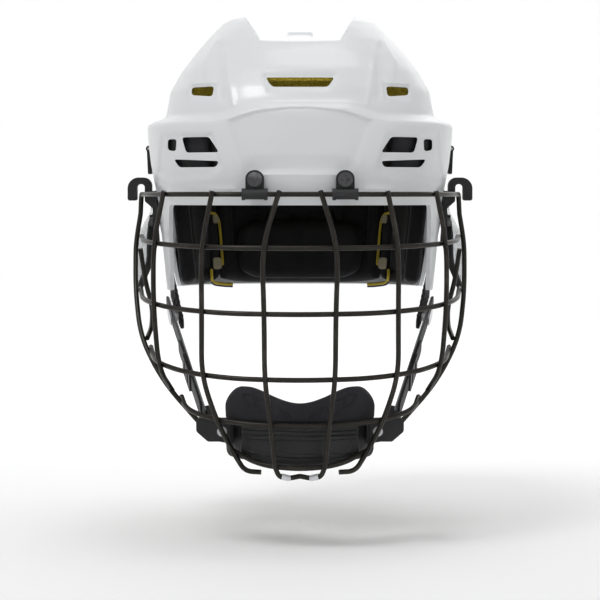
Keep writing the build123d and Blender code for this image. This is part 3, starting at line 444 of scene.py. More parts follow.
def finish(name, colour, roughness, **more):
    """Material with a Principled shader; more sets its other sockets by name."""
    made = bpy.data.materials.new(name)
    made.use_nodes = True
    shader = made.node_tree.nodes["Principled BSDF"]
    shader.inputs["Base Color"].default_value = (*colour, 1)
    shader.inputs["Roughness"].default_value = roughness
    for title, value in more.items():
        shader.inputs[title.replace("_", " ")].default_value = value
    return made, made.node_tree, shader


def relief_bump(tree, shader, height, strength, distance):
    """Bump of a height socket into the shader's normal."""
    bump = tree.nodes.new("ShaderNodeBump")
    bump.inputs["Strength"].default_value = strength
    bump.inputs["Distance"].default_value = distance
    tree.links.new(height, bump.inputs["Height"])
    tree.links.new(bump.outputs["Normal"], shader.inputs["Normal"])


def plastic(name, colour, worn, roughness, grain, scuffs, bump=0.15, **more):
    """Moulded plastic in a colour, with the shared surface group."""
    made, tree, shader = finish(name, colour, roughness, **more)
    surface = tree.nodes.new("ShaderNodeGroup")
    surface.node_tree = moulded
    surface.inputs["Colour"].default_value = (*colour, 1)
    surface.inputs["Worn Colour"].default_value = (*worn, 1)
    surface.inputs["Roughness"].default_value = roughness
    surface.inputs["Grain"].default_value = grain
    surface.inputs["Scuffs"].default_value = scuffs
    tree.links.new(surface.outputs["Colour"], shader.inputs["Base Color"])
    tree.links.new(surface.outputs["Roughness"], shader.inputs["Roughness"])
    relief_bump(tree, shader, surface.outputs["Height"], bump, 0.0002)
    return made


def dress(piece, material):
    """Give a piece one material."""
    piece.data.materials.clear()
    piece.data.materials.append(material)


white = plastic(
    "white_shell", (0.72, 0.735, 0.745), (0.56, 0.57, 0.58), 0.30, 0.5, 0.2,
    Coat_Weight=0.25, Coat_Roughness=0.12,
)
dress(front_shell, white)
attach(front_shell, "helmet")
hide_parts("front_shell")

# ---------------------------------------------------------------- rear shell
# The other moulded half. Its front 46 mm nest inside the front shell, so that it can slide
# back by 20 mm, and behind the seam it steps out almost flush with it.


def low_rear(y):
    """Lower edge of the rear shell by y: above the ear, then down to the nape."""
    return -22.0 - 69.0 * step(y, 26, 74)


def rear_inset(y):
    """Nested inside the front shell's wall before the seam, nearly flush behind it."""
    return 3.5 + 0.0 * y - 2.3 * step(y, 48.5, 53)


rear_turns = arc_even(2.3, 190, 110, 100)
rear_sides = np.concatenate([np.linspace(0, 44, 16), np.linspace(44.4, 45, 2)])
x, y, z = skin(rear_turns, rear_sides, REAR_Y, 1, 2.3, low_rear, (20, 100), crisp_rows, rear_inset)
behind = step(y, 49, 54)
cap_drop = (1 - behind) * np.maximum(0, z - 95.4)
z = z - cap_drop
side = np.abs(x)
back = step(y, 80, 115)
spine = inside(side, z, [(-80, -84), (-80, 60), (20, 60), (26, 20), (22, -60), (14, -84)], 4.0)
flank = inside(side, z, [(34, -70), (38, 22), (86, 22), (90, -40), (70, -74)], 5.0)
lift = 2.0 * spine * back - 1.8 * flank * step(y, 60, 90)
spread = np.hypot(x / 110, (y - REAR_Y) / 100) + 1e-6
x = x + lift * x / 110 / spread
y = y + lift * np.maximum(0, y - REAR_Y) / 100 / spread
groove_floor = 99.0 - 0.0022 * np.maximum(0, y - 40) ** 2
z = np.where(behind > 0, np.minimum(z, np.maximum(groove_floor + 1.6 * np.maximum(0, side - 30), 60)), z)
rear_shell = grid_piece("rear_shell_skin", x, y, z)
merge_and_face(rear_shell)
face_outward(rear_shell)
thicken(rear_shell, WALL)
cutters = []
for centre_x in (-48, 0, 48):
    for centre_z, half_x in ((46, 12), (8, 13)):
        corners = [(centre_x - half_x, centre_z - 4), (centre_x + half_x, centre_z - 4),
                   (centre_x + half_x - 2, centre_z + 4), (centre_x - half_x + 2, centre_z + 4)]
        cutters.append(prism_y(f"cut_rear_{centre_x}_{centre_z}", rounded(corners, 2.4), 80, 170))
carve(rear_shell, cutters)
soften(rear_shell)
dress(rear_shell, white)
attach(rear_shell, "rear")
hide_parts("rear_shell")

# ---------------------------------------------------------------- crown foam
# Moulded yellow EPP foam pads glued under both crowns, 11 mm thick, with gaps between them for
# the vents' air. They show through the vents and from inside.
EPP_GAP = 3.6  # from the shell's outer face to the foam


def front_wall(turn, z, depth):
    """Point inside the front half: turn round the plan, height z, depth in from the outer face.

    A negative turn runs back along the straight side, 80 mm a radian.
    """
    width, front = np.interp(z, FORM[:, 0], FORM[:, 1]), np.interp(z, FORM[:, 0], FORM[:, 2])
    round_turn = np.clip(turn, 0, np.pi)
    x, y = plan(width - depth, front - depth, round_turn, FRONT_Y, -1, 2.6)
    past = np.minimum(turn, 0) + np.minimum(np.pi - turn, 0)
    return x, y - 80 * past, z + 0 * turn


def rear_wall(turn, z, depth):
    """The same for the rear half."""
    width, rear = np.interp(z, FORM[:, 0], FORM[:, 1]), np.interp(z, FORM[:, 0], FORM[:, 3])
    round_turn = np.clip(turn, 0, np.pi)
    x, y = plan(width - depth, rear - depth, round_turn, REAR_Y, 1, 2.3)
    past = np.minimum(turn, 0) + np.minimum(np.pi - turn, 0)
    return x, y + 80 * past, z + 0 * turn


def nothing(u, v):
    """No relief."""
    return 0 * u


def pad_mesh(place, thick, edge, size, outer_cut=nothing, inner_cut=nothing, grid=(64, 44), corner=0.25):
    """Places and faces of a closed pad over u and v from 0 to 1.

    The outer face is place(u, v, depth) near depth 0 and the inner one near the pad's thickness.
    Within edge millimetres of the rim both round off as a quarter ellipse and meet. Samples
    crowd towards the rim, and corner pulls the four corners in.
    """
    s, t = (np.linspace(0, 1, count) for count in grid)
    ease_u, ease_v = (0.35 * q + 0.65 * (0.5 - 0.5 * np.cos(np.pi * q)) for q in (s, t))
    u, v = np.meshgrid(ease_u, ease_v, indexing="ij")
    rim_u = 1 - np.clip(np.minimum(u, 1 - u) * size[0] / edge, 0, 1)
    rim_v = 1 - np.clip(np.minimum(v, 1 - v) * size[1] / edge, 0, 1)
    share = np.sqrt(1 - rim_u**2) * np.sqrt(1 - rim_v**2)
    a, b = 2 * u - 1, 2 * v - 1
    u2 = 0.5 + 0.5 * a * np.sqrt(1 - corner * b**4 * a**2)
    v2 = 0.5 + 0.5 * b * np.sqrt(1 - corner * a**4 * b**2)
    outer = place(u2, v2, thick * 0.3 * (1 - share) + share * outer_cut(u2, v2))
    inner = place(u2, v2, thick * (0.3 + 0.7 * share) - share * inner_cut(u2, v2))
    places = np.concatenate([np.stack(face, axis=-1).reshape(-1, 3) for face in (outer, inner)])
    count = grid[0] * grid[1]
    faces = np.concatenate([quads(*grid), quads(*grid, flip=True) + count])
    return places, faces


def join(name, meshes):
    """One object of several closed bodies, each a pair of places and faces, all facing outwards."""
    places, faces, start = [], [], 0
    for points, corners in meshes:
        places.append(points)
        faces.append(np.asarray(corners) + start)
        start += len(points)
    piece = build(name, np.concatenate(places), np.concatenate(faces))
    merge_and_face(piece)
    return piece


def band_pad(wall, turns_deg, heights, depth, thick, edge=5.0, **more):
    """Pad on a wall between two turns and two heights."""
    start, end = np.radians(turns_deg)
    low, high = heights
    size = (abs(end - start) * 105, high - low)

    def place(u, v, d):
        return wall(start + (end - start) * u, low + (high - low) * v, depth + d)

    return pad_mesh(place, thick, edge, size, **more)


def roof_pad(half_x, y_range, height, thick):
    """Pad under the crown between two y values; height(x, y) is its top."""
    y0, y1 = y_range
    size = (2 * half_x, abs(y1 - y0))

    def place(u, v, d):
        px, py = half_x * (2 * u - 1), y0 + (y1 - y0) * v
        return px, py, height(px, py) - d

    return pad_mesh(place, thick, 5.0, size)


def under_front(px, py):
    """Underside of the crown channel in front."""
    return channel_floor(py) - 6.2 - 0.004 * px**2


def under_rear(px, py):
    """Underside of the crown behind."""
    return 92.0 - 0.0030 * np.maximum(0, py - 20) ** 2 - 0.004 * px**2


crown_foam = join("crown_foam_pads", [
    band_pad(front_wall, (64, 116), (56.2, 80), EPP_GAP, 11, edge=3.0),
    band_pad(front_wall, (3, 60), (53.0, 84), EPP_GAP, 11, edge=3.0),
    band_pad(front_wall, (120, 177), (53.0, 84), EPP_GAP, 11, edge=3.0),
    roof_pad(27, (-86, -12), under_front, 10),
])
rear_crown_foam = join("rear_crown_foam_pads", [
    band_pad(rear_wall, (64, 116), (33, 78), 7.0, 11),
    band_pad(rear_wall, (-16, 60), (33, 82), 7.0, 11),
    band_pad(rear_wall, (120, 196), (33, 82), 7.0, 11),
    roof_pad(27, (14, 72), under_rear, 10),
])

# Bead foam: fused beads show as a cell pattern with darker borders.
yellow_foam, tree, shader = finish("yellow_bead_foam", (0.62, 0.50, 0.05), 0.75)
where = tree.nodes.new("ShaderNodeTexCoord").outputs["Object"]
beads = tree.nodes.new("ShaderNodeTexVoronoi")
beads.feature = "DISTANCE_TO_EDGE"
beads.inputs["Scale"].default_value = 380
tree.links.new(where, beads.inputs["Vector"])
border = arithmetic(tree, "MULTIPLY", beads.outputs["Distance"], 6.0)
mottle = noise(tree, 90, 3, where).outputs["Fac"]
shade = blend_colour(tree, mottle, (0.50, 0.38, 0.02, 1), (0.70, 0.58, 0.09, 1))
tree.links.new(blend_colour(tree, border, (0.36, 0.27, 0.02, 1), shade), shader.inputs["Base Color"])
relief_bump(tree, shader, border, 0.5, 0.0004)
for piece, body, node in ((crown_foam, "helmet", "crown_foam"), (rear_crown_foam, "rear", "rear_crown_foam")):
    dress(piece, yellow_foam)
    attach(piece, body)
    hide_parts(node)

# ---------------------------------------------------------------- forehead and temple pads
# Soft comfort pads of closed-cell foam under a brushed black lining, moulded with air channels
# and glued inside the front shell just above the brim.


def forehead_channels(u, v):
    """Three upright air channels and one level one."""
    upright = sum(bell(u, c, 0.022) for c in (0.25, 0.5, 0.75))
    return 3.0 * np.clip(upright, 0, 1) * step(v, 0.06, 0.2) + 2.0 * bell(v, 0.62, 0.05)


def temple_channels(u, v):
    """Two slanting channels."""
    return 2.6 * bell(u - 0.18 * v, 0.30, 0.03) + 2.6 * bell(u - 0.18 * v, 0.62, 0.03)


def lining(name, colour, sheen, weave, fuzz):
    """Brushed knitted lining: fine rows of loops, soft sheen, slight colour variation."""
    made, tree, shader = finish(name, colour, 0.85, Sheen_Weight=sheen, Sheen_Roughness=0.45)
    where = tree.nodes.new("ShaderNodeTexCoord").outputs["Object"]
    loops = tree.nodes.new("ShaderNodeTexVoronoi")
    loops.inputs["Scale"].default_value = weave
    tree.links.new(where, loops.inputs["Vector"])
    hair = noise(tree, fuzz, 5, where).outputs["Fac"]
    patch = noise(tree, 35, 3, where).outputs["Fac"]
    light = tuple(min(1, c * 1.9 + 0.01) for c in colour)
    tone = blend_colour(tree, arithmetic(tree, "MULTIPLY", patch, hair), (*colour, 1), (*light, 1))
    tree.links.new(tone, shader.inputs["Base Color"])
    height = arithmetic(tree, "ADD", loops.outputs["Distance"], arithmetic(tree, "MULTIPLY", hair, 0.6))
    relief_bump(tree, shader, height, 0.55, 0.0003)
    return made


black_lining = lining("black_lining", (0.014, 0.014, 0.016), 0.14, 900, 700)
forehead = join("forehead_pad_liner", [
    band_pad(front_wall, (61, 119), (-24, 36), 4.6, 10.5, inner_cut=forehead_channels, grid=(110, 60)),
])
brow_pads = [(forehead, "forehead_pad")]
for side_name, turn_range in (("left", (0, 58.5)), ("right", (180, 121.5))):
    temple = join(f"temple_pad_{side_name}_liner", [
        band_pad(front_wall, turn_range, (-24, 36), 4.6, 10.5, inner_cut=temple_channels, grid=(90, 60)),
    ])
    brow_pads.append((temple, f"temple_pad_{side_name}"))
for piece, node in brow_pads:
    dress(piece, black_lining)
    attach(piece, "helmet")
    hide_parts(node)

# ---------------------------------------------------------------- rear liner
# Contoured black liner inside the rear shell: an occipital block with sunk outlines, a side
# block each side with a sunk window, a softer nape pad on it, and yellow piping in the seams.
LINER_DEPTH = 7.0
LINER_THICK = 11.5


def tube(points, radius, sides=10):
    """Closed tube along points, an (n, 3) array: rings of a circle square to the path."""
    route = np.asarray(points, float)
    way = np.gradient(route, axis=0)
    way /= np.linalg.norm(way, axis=1, keepdims=True)
    guide = np.array([0.31, 0.23, 0.92])
    first = np.cross(way, guide)
    first /= np.linalg.norm(first, axis=1, keepdims=True)
    second = np.cross(way, first)
    angle = np.linspace(0, 2 * np.pi, sides, endpoint=False)
    scale = np.full(len(route), float(radius))
    scale[0] = scale[-1] = 0.02
    ring = np.cos(angle)[None, :, None] * first[:, None] + np.sin(angle)[None, :, None] * second[:, None]
    places = route[:, None] + ring * scale[:, None, None]
    return places.reshape(-1, 3), quads(len(route), sides, round_columns=True)


def smooth_path(corners, count=60):
    """Smooth curve through a few points: a Catmull-Rom spline."""
    p = np.asarray(corners, float)
    p = np.vstack([2 * p[0] - p[1], p, 2 * p[-1] - p[-2]])
    where_at = np.linspace(0, len(p) - 3 - 1e-9, count)
    i = where_at.astype(int)
    s = (where_at - i)[:, None]
    a, b, c, d = p[i], p[i + 1], p[i + 2], p[i + 3]
    return 0.5 * (2 * b + (c - a) * s + (2 * a - 5 * b + 4 * c - d) * s**2 + (3 * b - a - 3 * c + d) * s**3)


def outline_groove(x, z, corners, width):
    """Groove along a closed outline in x-z."""
    points = list(corners)
    return np.max([near_line(x, z, a, b, width) for a, b in zip(points, points[1:] + points[:1])], axis=0)


OCCIPITAL_TURNS = (45.0, 135.0)
LINER_LOW, LINER_HIGH = -89.5, 29.0


def occipital_relief(u, v):
    """Sunk outlines of two slanting windows each side, and a level crease above the nape."""
    turn = np.radians(OCCIPITAL_TURNS[0] + (OCCIPITAL_TURNS[1] - OCCIPITAL_TURNS[0]) * u)
    z = LINER_LOW + (LINER_HIGH - LINER_LOW) * v
    x, _, _ = rear_wall(turn, z, LINER_DEPTH + LINER_THICK)
    side = np.abs(x)
    window = outline_groove(side, z, [(4, -35), (25, -33), (28, -45), (10, -49)], 1.1)
    wing = outline_groove(side, z, [(33, -30), (52, -28), (50, -62), (37, -68)], 1.1)
    return 2.4 * np.maximum(window, wing) + 2.0 * bell(z, -12, 2.0) + 1.6 * bell(z, 8, 2.0)


def side_relief(u, v):
    """A sunk window with a raised middle."""
    box_u, box_v = np.abs(u - 0.55) / 0.27, np.abs(v - 0.42) / 0.33
    edge = np.maximum(box_u, box_v)
    return 2.8 * bell(edge, 1.0, 0.13) + 2.0 * bell(v, 0.84, 0.03)


occipital = join("occipital_liner_pad", [
    band_pad(rear_wall, OCCIPITAL_TURNS, (LINER_LOW, LINER_HIGH), LINER_DEPTH, LINER_THICK,
             inner_cut=occipital_relief, grid=(170, 110), edge=7.0, corner=0.12),
])
side_pads = {}
for name, turn_range in (("left", (-8, 43.5)), ("right", (188, 136.5))):
    side_pads[name] = join(f"side_liner_{name}_pad", [
        band_pad(rear_wall, turn_range, (LINER_LOW, LINER_HIGH), LINER_DEPTH, LINER_THICK,
                 inner_cut=side_relief, grid=(100, 90), edge=6.0, corner=0.12),
    ])
nape = join("nape_pad_cushion", [
    band_pad(rear_wall, (55, 125), (-86, -42), 19.4, 8.0, inner_cut=lambda u, v: 2.0 * bell(u, 0.5, 0.05),
             grid=(70, 50), edge=7.0, corner=0.3),
])
liner_skin = lining("liner_skin", (0.010, 0.010, 0.012), 0.10, 1300, 900)
for piece, node in (
    (occipital, "occipital_liner"), (side_pads["left"], "side_liner_left"),
    (side_pads["right"], "side_liner_right"), (nape, "nape_pad"),
):
    dress(piece, liner_skin)
    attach(piece, "rear")
    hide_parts(node)

# Yellow piping along each seam between the liner's blocks, blue edging under it, and two pale
# hook-and-loop patches on each side block.
LINER_FACE = LINER_DEPTH + LINER_THICK  # depth of the liner's inner face
pipes, edgings, patches = [], [], []
for way in (1, -1):
    turns_down = np.radians([34.0, 40.5, 43.6, 44.2, 43.8])
    heights = np.array([-35, -36.6, -43, -61, -76.0])
    seam_depths = np.array([19.4, 18.2, 17.6, 17.6, 18.4])
    seam = np.stack(rear_wall(turns_down, heights, seam_depths), axis=-1)
    corner_turns = np.radians([32.0, 32.6, 37.0, 46.0, 54.0])
    corner_heights = np.array([-78, -84.5, -88.4, -90.0, -90.6])
    corner_depths = np.array([18.8, 18.0, 15.6, 14.4, 13.6])
    low = np.stack(rear_wall(corner_turns, corner_heights, corner_depths), axis=-1)
    flip = np.array([way, 1, 1])
    pipes += [tube(smooth_path(seam * flip), 1.15), tube(smooth_path(low * flip), 1.25)]
    edgings.append(tube(smooth_path((low + (0, 1.2, -1.6)) * flip), 0.9))
    for height, half, turned in ((-40.0, 3.4, (37.6, 42.6)), (-74.0, 4.6, (34.5, 42.6))):
        turn_range = turned if way > 0 else (180 - turned[0], 180 - turned[1])
        span = (height - half, height + half)
        patches.append(band_pad(
            rear_wall, turn_range, span, LINER_FACE - 0.3, 1.0, edge=0.8, grid=(16, 20), corner=0.3
        ))


def cloth_colour(name, colour, roughness):
    """Plain woven tape in a colour, with a fine cross weave."""
    made, tree, shader = finish(name, colour, roughness, Sheen_Weight=0.15)
    where = tree.nodes.new("ShaderNodeTexCoord").outputs["Object"]
    weave = tree.nodes.new("ShaderNodeTexChecker")
    weave.inputs["Scale"].default_value = 1500
    dark = tuple(c * 0.72 for c in colour)
    weave.inputs["Color1"].default_value = (*colour, 1)
    weave.inputs["Color2"].default_value = (*dark, 1)
    tree.links.new(where, weave.inputs["Vector"])
    tone = blend_colour(tree, noise(tree, 120, 4, where).outputs["Fac"], weave.outputs["Color"], (*dark, 1))
    tree.links.new(tone, shader.inputs["Base Color"])
    relief_bump(tree, shader, weave.outputs["Fac"], 0.3, 0.0001)
    return made


for name, meshes, colour in (
    ("liner_piping", pipes, (0.60, 0.47, 0.05)), ("liner_edging", edgings, (0.02, 0.03, 0.10)),
    ("liner_patches", patches, (0.42, 0.38, 0.27)),
):
    trim = join(name, meshes)
    dress(trim, cloth_colour(f"{name}_tape", colour, 0.8))
    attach(trim, "rear")

# ---------------------------------------------------------------- levers and screws
# Glass-filled nylon levers lock the two shells at a size, on steel pins and guide screws.


def keep(node, material):
    """Dress a CAD node in a material."""
    for held in nodes[node].material_slots:
        held.material = material


black_nylon = plastic("black_nylon", (0.018, 0.018, 0.019), (0.06, 0.06, 0.06), 0.42, 0.9, 0.5, bump=0.25)
black_rubber = plastic("black_rubber", (0.014, 0.014, 0.014), (0.045, 0.045, 0.045), 0.62, 1.4, 0.6, bump=0.3)

# Metal: fine turned marks and small bright wear.
metal_wear, took, gave = group(
    "metal_wear",
    [
        ("Colour", "NodeSocketColor", (0.5, 0.5, 0.5, 1)),
        ("Worn Colour", "NodeSocketColor", (0.7, 0.7, 0.7, 1)),
        ("Roughness", "NodeSocketFloat", 0.35), ("Wear", "NodeSocketFloat", 0.5),
    ],
    [("Colour", "NodeSocketColor"), ("Roughness", "NodeSocketFloat"), ("Height", "NodeSocketFloat"),
     ("Wear Mask", "NodeSocketFloat")],
)
where = metal_wear.nodes.new("ShaderNodeTexCoord").outputs["Object"]
fine = noise(metal_wear, 900, 4, where).outputs["Fac"]
broad = noise(metal_wear, 60, 5, where).outputs["Fac"]
above = arithmetic(metal_wear, "SUBTRACT", broad, 0.56)
sharpened = arithmetic(metal_wear, "MULTIPLY", above, 9.0)
mask = arithmetic(metal_wear, "MULTIPLY", sharpened, took.outputs["Wear"])
limited = metal_wear.nodes.new("ShaderNodeClamp")
metal_wear.links.new(mask, limited.inputs["Value"])
toned = blend_colour(metal_wear, limited.outputs[0], took.outputs["Colour"], took.outputs["Worn Colour"])
metal_wear.links.new(toned, gave.inputs["Colour"])
metal_wear.links.new(limited.outputs[0], gave.inputs["Wear Mask"])
fine_share = arithmetic(metal_wear, "MULTIPLY", fine, 0.12)
rough = arithmetic(metal_wear, "ADD", took.outputs["Roughness"], fine_share)
metal_wear.links.new(rough, gave.inputs["Roughness"])
metal_wear.links.new(fine, gave.inputs["Height"])


def metal(name, colour, worn, roughness, wear, metallic, bump, **more):
    """Metal or painted metal in a colour with the shared wear group."""
    made, tree, shader = finish(name, colour, roughness, Metallic=metallic, **more)
    surface = tree.nodes.new("ShaderNodeGroup")
    surface.node_tree = metal_wear
    surface.inputs["Colour"].default_value = (*colour, 1)
    surface.inputs["Worn Colour"].default_value = (*worn, 1)
    surface.inputs["Roughness"].default_value = roughness
    surface.inputs["Wear"].default_value = wear
    tree.links.new(surface.outputs["Colour"], shader.inputs["Base Color"])
    tree.links.new(surface.outputs["Roughness"], shader.inputs["Roughness"])
    relief_bump(tree, shader, surface.outputs["Height"], bump, 0.0001)
    return made


black_screw = metal("black_oxide_steel", (0.13, 0.13, 0.135), (0.34, 0.34, 0.35), 0.30, 0.7, 1.0, 0.2)
bright_steel = metal("bright_steel", (0.55, 0.55, 0.56), (0.75, 0.75, 0.76), 0.24, 0.4, 1.0, 0.15)
for side_name in ("left", "right"):
    keep(f"size_lever_{side_name}", black_nylon)
keep("lever_pins", bright_steel)
keep("guide_screws", black_screw)

# ---------------------------------------------------------------- ear covers
# Clear moulded polycarbonate plates with three sound slots, edged in black rubber, and held to
# the shell by two screws each side.
clear, tree, shader = finish(
    "clear_polycarbonate", (0.93, 0.95, 0.96), 0.07, IOR=1.585, Transmission_Weight=0.94
)
where = tree.nodes.new("ShaderNodeTexCoord").outputs["Object"]
haze = noise(tree, 240, 6, where).outputs["Fac"]
fleck = arithmetic(tree, "GREATER_THAN", noise(tree, 420, 2, where).outputs["Fac"], 0.64)
cloudy = blend_colour(tree, haze, (0.80, 0.82, 0.84, 1), (0.97, 0.98, 0.99, 1))
tree.links.new(blend_colour(tree, fleck, cloudy, (0.62, 0.63, 0.65, 1)), shader.inputs["Base Color"])
tree.links.new(arithmetic(tree, "MULTIPLY", haze, 0.34), shader.inputs["Roughness"])
relief_bump(tree, shader, haze, 0.22, 0.0004)
for side_name in ("left", "right"):
    keep(f"ear_cover_{side_name}", clear)
    keep(f"ear_rim_{side_name}", black_rubber)
keep("ear_cover_screws", black_screw)

# ---------------------------------------------------------------- cage clips and hooks
# Rubber-faced nylon clips grip the top bar at the forehead, and a slotted nylon hook each side
# catches the bar's end. Black Phillips screws hold all four.
clip_rubber = plastic("clip_rubber", (0.026, 0.027, 0.029), (0.09, 0.09, 0.09), 0.5, 1.2, 0.5, bump=0.3)
for side_name in ("left", "right"):
    keep(f"forehead_clip_{side_name}", clip_rubber)
    keep(f"side_hook_{side_name}", black_nylon)
keep("forehead_screws", black_screw)
keep("forehead_nuts", bright_steel)
keep("hook_screws", black_screw)

# ---------------------------------------------------------------- cage
# 3.4 mm carbon-steel wires, resistance-welded where they cross and coated in a dark bronze-black
# epoxy. The two centre wires' ends are coloured plain white.
wire_paint = metal("wire_coating", (0.024, 0.021, 0.016), (0.070, 0.062, 0.047), 0.36, 0.35, 0.55, 0.35,
                   Coat_Weight=0.35, Coat_Roughness=0.25)
# Plain white for the two centre wires' ends.
white_wire_end = plastic("white_wire_end", (0.78, 0.79, 0.82), (0.5, 0.5, 0.52), 0.35, 0.6, 0.3)
WIRES = [name for name, held in nodes.items() if "cage_wire" in [m.name for m in held.data.materials if m]]
for wire in WIRES:
    keep(wire, wire_paint)
keep("wire_tips", white_wire_end)

# ---------------------------------------------------------------- chin cup
# Injection-moulded black cup, 2.6 mm thick, with pressed ribs across its face and a lip turned
# in under the chin. It is riveted to a clip each side.
CUP_CENTRE_Y, CUP_RADIUS, CUP_HALF_ANGLE = -90.0, 57.0, 56.0
CUP_TOP_Z, CUP_LOW_Z = -176.5, -206.2


def cup_skin(count_across=150, count_down=96):
    """Cup face: angle across the chin, and a path down it that turns in along a rounded lip."""
    angle = np.radians(np.linspace(-CUP_HALF_ANGLE, CUP_HALF_ANGLE, count_across))
    down = np.linspace(0, 1, count_down)
    share = np.abs(angle) / np.radians(CUP_HALF_ANGLE)
    low = CUP_LOW_Z + 7.0 * share**3.5
    bend = 7.5
    drop = (CUP_TOP_Z - low - bend)[None, :]
    wall_share = np.clip(down / 0.62, 0, 1)[:, None]
    turn_share = np.clip((down - 0.62) / 0.2, 0, 1)[:, None]
    lip_share = np.clip((down - 0.82) / 0.18, 0, 1)[:, None]
    z = CUP_TOP_Z - drop * wall_share - bend * np.sin(turn_share * np.pi / 2)
    inward = bend * (1 - np.cos(turn_share * np.pi / 2)) + 13.0 * lip_share
    x_flat = CUP_RADIUS * np.sin(angle)[None, :] + 0 * z
    face = 1 - turn_share
    ribs = bell(z, -181.6, 0.45) + bell(z, -184.6, 0.45) + bell(z, -199.4 + 4.0 * share[None, :] ** 2, 0.45)
    ribs = ribs + bell(z, -202.4 + 4.0 * share[None, :] ** 2, 0.45)
    ribs = ribs * (1 - step(share[None, :], 0.74, 0.8))
    cheek = 1.2 * step(share[None, :], 0.80, 0.84)
    sunk = 0.8 * inside(x_flat, z, [(-38, -187.2), (38, -187.2), (33, -197.2), (-33, -197.2)], 0.8)
    radius = CUP_RADIUS - inward - 0.7 * ribs - cheek - sunk * np.clip(face * 3, 0, 1)
    return radius * np.sin(angle)[None, :], CUP_CENTRE_Y - radius * np.cos(angle)[None, :], z


x, y, z = cup_skin()
chin_cup = grid_piece("chin_cup_shell", x, y, z, flip=True)
merge_and_face(chin_cup)
mesh = chin_cup.data
front_normals = np.empty(len(mesh.polygons) * 3)
mesh.polygons.foreach_get("normal", front_normals)
if front_normals[1::3].mean() > 0:
    mesh.flip_normals()
thicken(chin_cup, 2.4)
soften(chin_cup)

# Side flanges that the rivets pass through, rounded at their corners.
flange_x = CUP_RADIUS * math.sin(math.radians(CUP_HALF_ANGLE))
flange_y = CUP_CENTRE_Y - CUP_RADIUS * math.cos(math.radians(CUP_HALF_ANGLE))
for way in (1, -1):
    near, far = way * (flange_x - 3.5), way * (flange_x + 10.3)
    corners = [(near, -192.5), (far, -190.5), (far, -177.0), (near, -176.6)]
    flange = prism_y("flange", rounded(corners, 3.0), flange_y - 0.1, flange_y + 2.3)
    edge = flange.modifiers.new("edge", "BEVEL")
    edge.width, edge.segments = 0.0004, 2
    bake_modifiers(flange)
    flange.name = f"chin_cup_flange_{'left' if way > 0 else 'right'}"
    soften(flange, 40)
    dress(flange, black_nylon)
    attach(flange, "cage")
dress(chin_cup, black_nylon)
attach(chin_cup, "cage")
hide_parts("chin_cup")

# ---------------------------------------------------------------- chin pad
# Moulded foam pad under a smooth black skin, pressed into the cup. Two lobes stand above the
# cup with outlines pressed into them, and it dips in the middle for the lower lip.
PAD_RADIUS, PAD_HALF_ANGLE, PAD_THICK = 53.9, 77.0, 10.5


def pad_top(angle_deg):
    """Height of the pad's top edge: low in the middle, lobes at 45 degrees, lower at the ends."""
    side = np.abs(angle_deg)
    return -162.6 + 10.4 * step(side, 0, 46) - 17.0 * (np.maximum(0, side - 50) / 30) ** 2


def chin_place(u, v, depth):
    """Point of the chin pad: angle across, height from its lower edge to its top, depth in."""
    degrees = PAD_HALF_ANGLE * (2 * u - 1)
    z = -203.0 + (pad_top(degrees) + 203.0) * v
    angle = np.radians(degrees)
    radius = PAD_RADIUS - depth + 0.8 * bell(z, -165, 8)
    return radius * np.sin(angle), CUP_CENTRE_Y - radius * np.cos(angle), z


def chin_marks(u, v):
    """Pressed outlines on the lobes and three slanting lines each side of the dip."""
    x, _, z = chin_place(u, v, 0 * u)
    side = np.abs(x)
    first = outline_groove(side, z, [(38.6, -158.2), (32.0, -158.0), (29.5, -166.0), (34.2, -164.8)], 0.55)
    second = outline_groove(side, z, [(29.6, -159.6), (23.0, -162.0), (21.2, -171.0), (26.6, -168.6)], 0.55)
    strokes = [
        near_line(side, z, (14.5 - shift, -166.0 - 0.5 * shift), (11.5 - shift, -173.5), 0.4)
        for shift in (0, 2.6, 5.2)
    ]
    rim = 0.6 * bell(z, -176.0, 0.8)
    return 0.9 * np.maximum(np.maximum(first, second), np.max(strokes, axis=0)) + rim


def chin_channels(u, v):
    """Two upright air channels on the chin's side."""
    return 1.8 * bell(u, 0.36, 0.02) + 1.8 * bell(u, 0.64, 0.02)


chin_pad = join("chin_pad_cushion", [
    pad_mesh(chin_place, PAD_THICK, 6.5, (145.0, 44.0), outer_cut=chin_marks, inner_cut=chin_channels,
             grid=(230, 90), corner=0.10),
])
pad_skin = lining("chin_pad_skin", (0.024, 0.024, 0.028), 0.12, 1500, 1100)
dress(chin_pad, pad_skin)
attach(chin_pad, "cage")
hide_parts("chin_pad")
for side_name in ("left", "right"):
    keep(f"chin_clip_{side_name}", black_nylon)
keep("chin_rivets", bright_steel)

# ---------------------------------------------------------------- chin straps
# 15 mm polyester webbing with raised ribs and light grey edge cords, whose grey is partly the edges' silvery
# colour and partly a painted sheen.
# One end turns on a pin at the chin clip, its tail is folded back through an adjuster, and a snap joins the
# other to the ear strap.
STRAP_FOOT = np.array([66.0, -103.0, -175.0])
STRAP_TOP = np.array([97.0, -14.0, -98.0])
STRAP_LENGTH = float(np.linalg.norm(STRAP_TOP - STRAP_FOOT))
strap_way = (STRAP_TOP - STRAP_FOOT) / STRAP_LENGTH
strap_across = np.array([0, -strap_way[2], strap_way[1]]) / np.hypot(strap_way[1], strap_way[2])
strap_inboard = np.cross(strap_across, strap_way)
strap_inboard *= -np.sign(strap_inboard[0])


def strap_point(u, v, w):
    """Point u along the strap, v across it and w inboard of its middle."""
    u, v, w = (np.asarray(value, float)[..., None] for value in (u, v, w))
    return STRAP_FOOT + u * strap_way + v * strap_across + w * strap_inboard


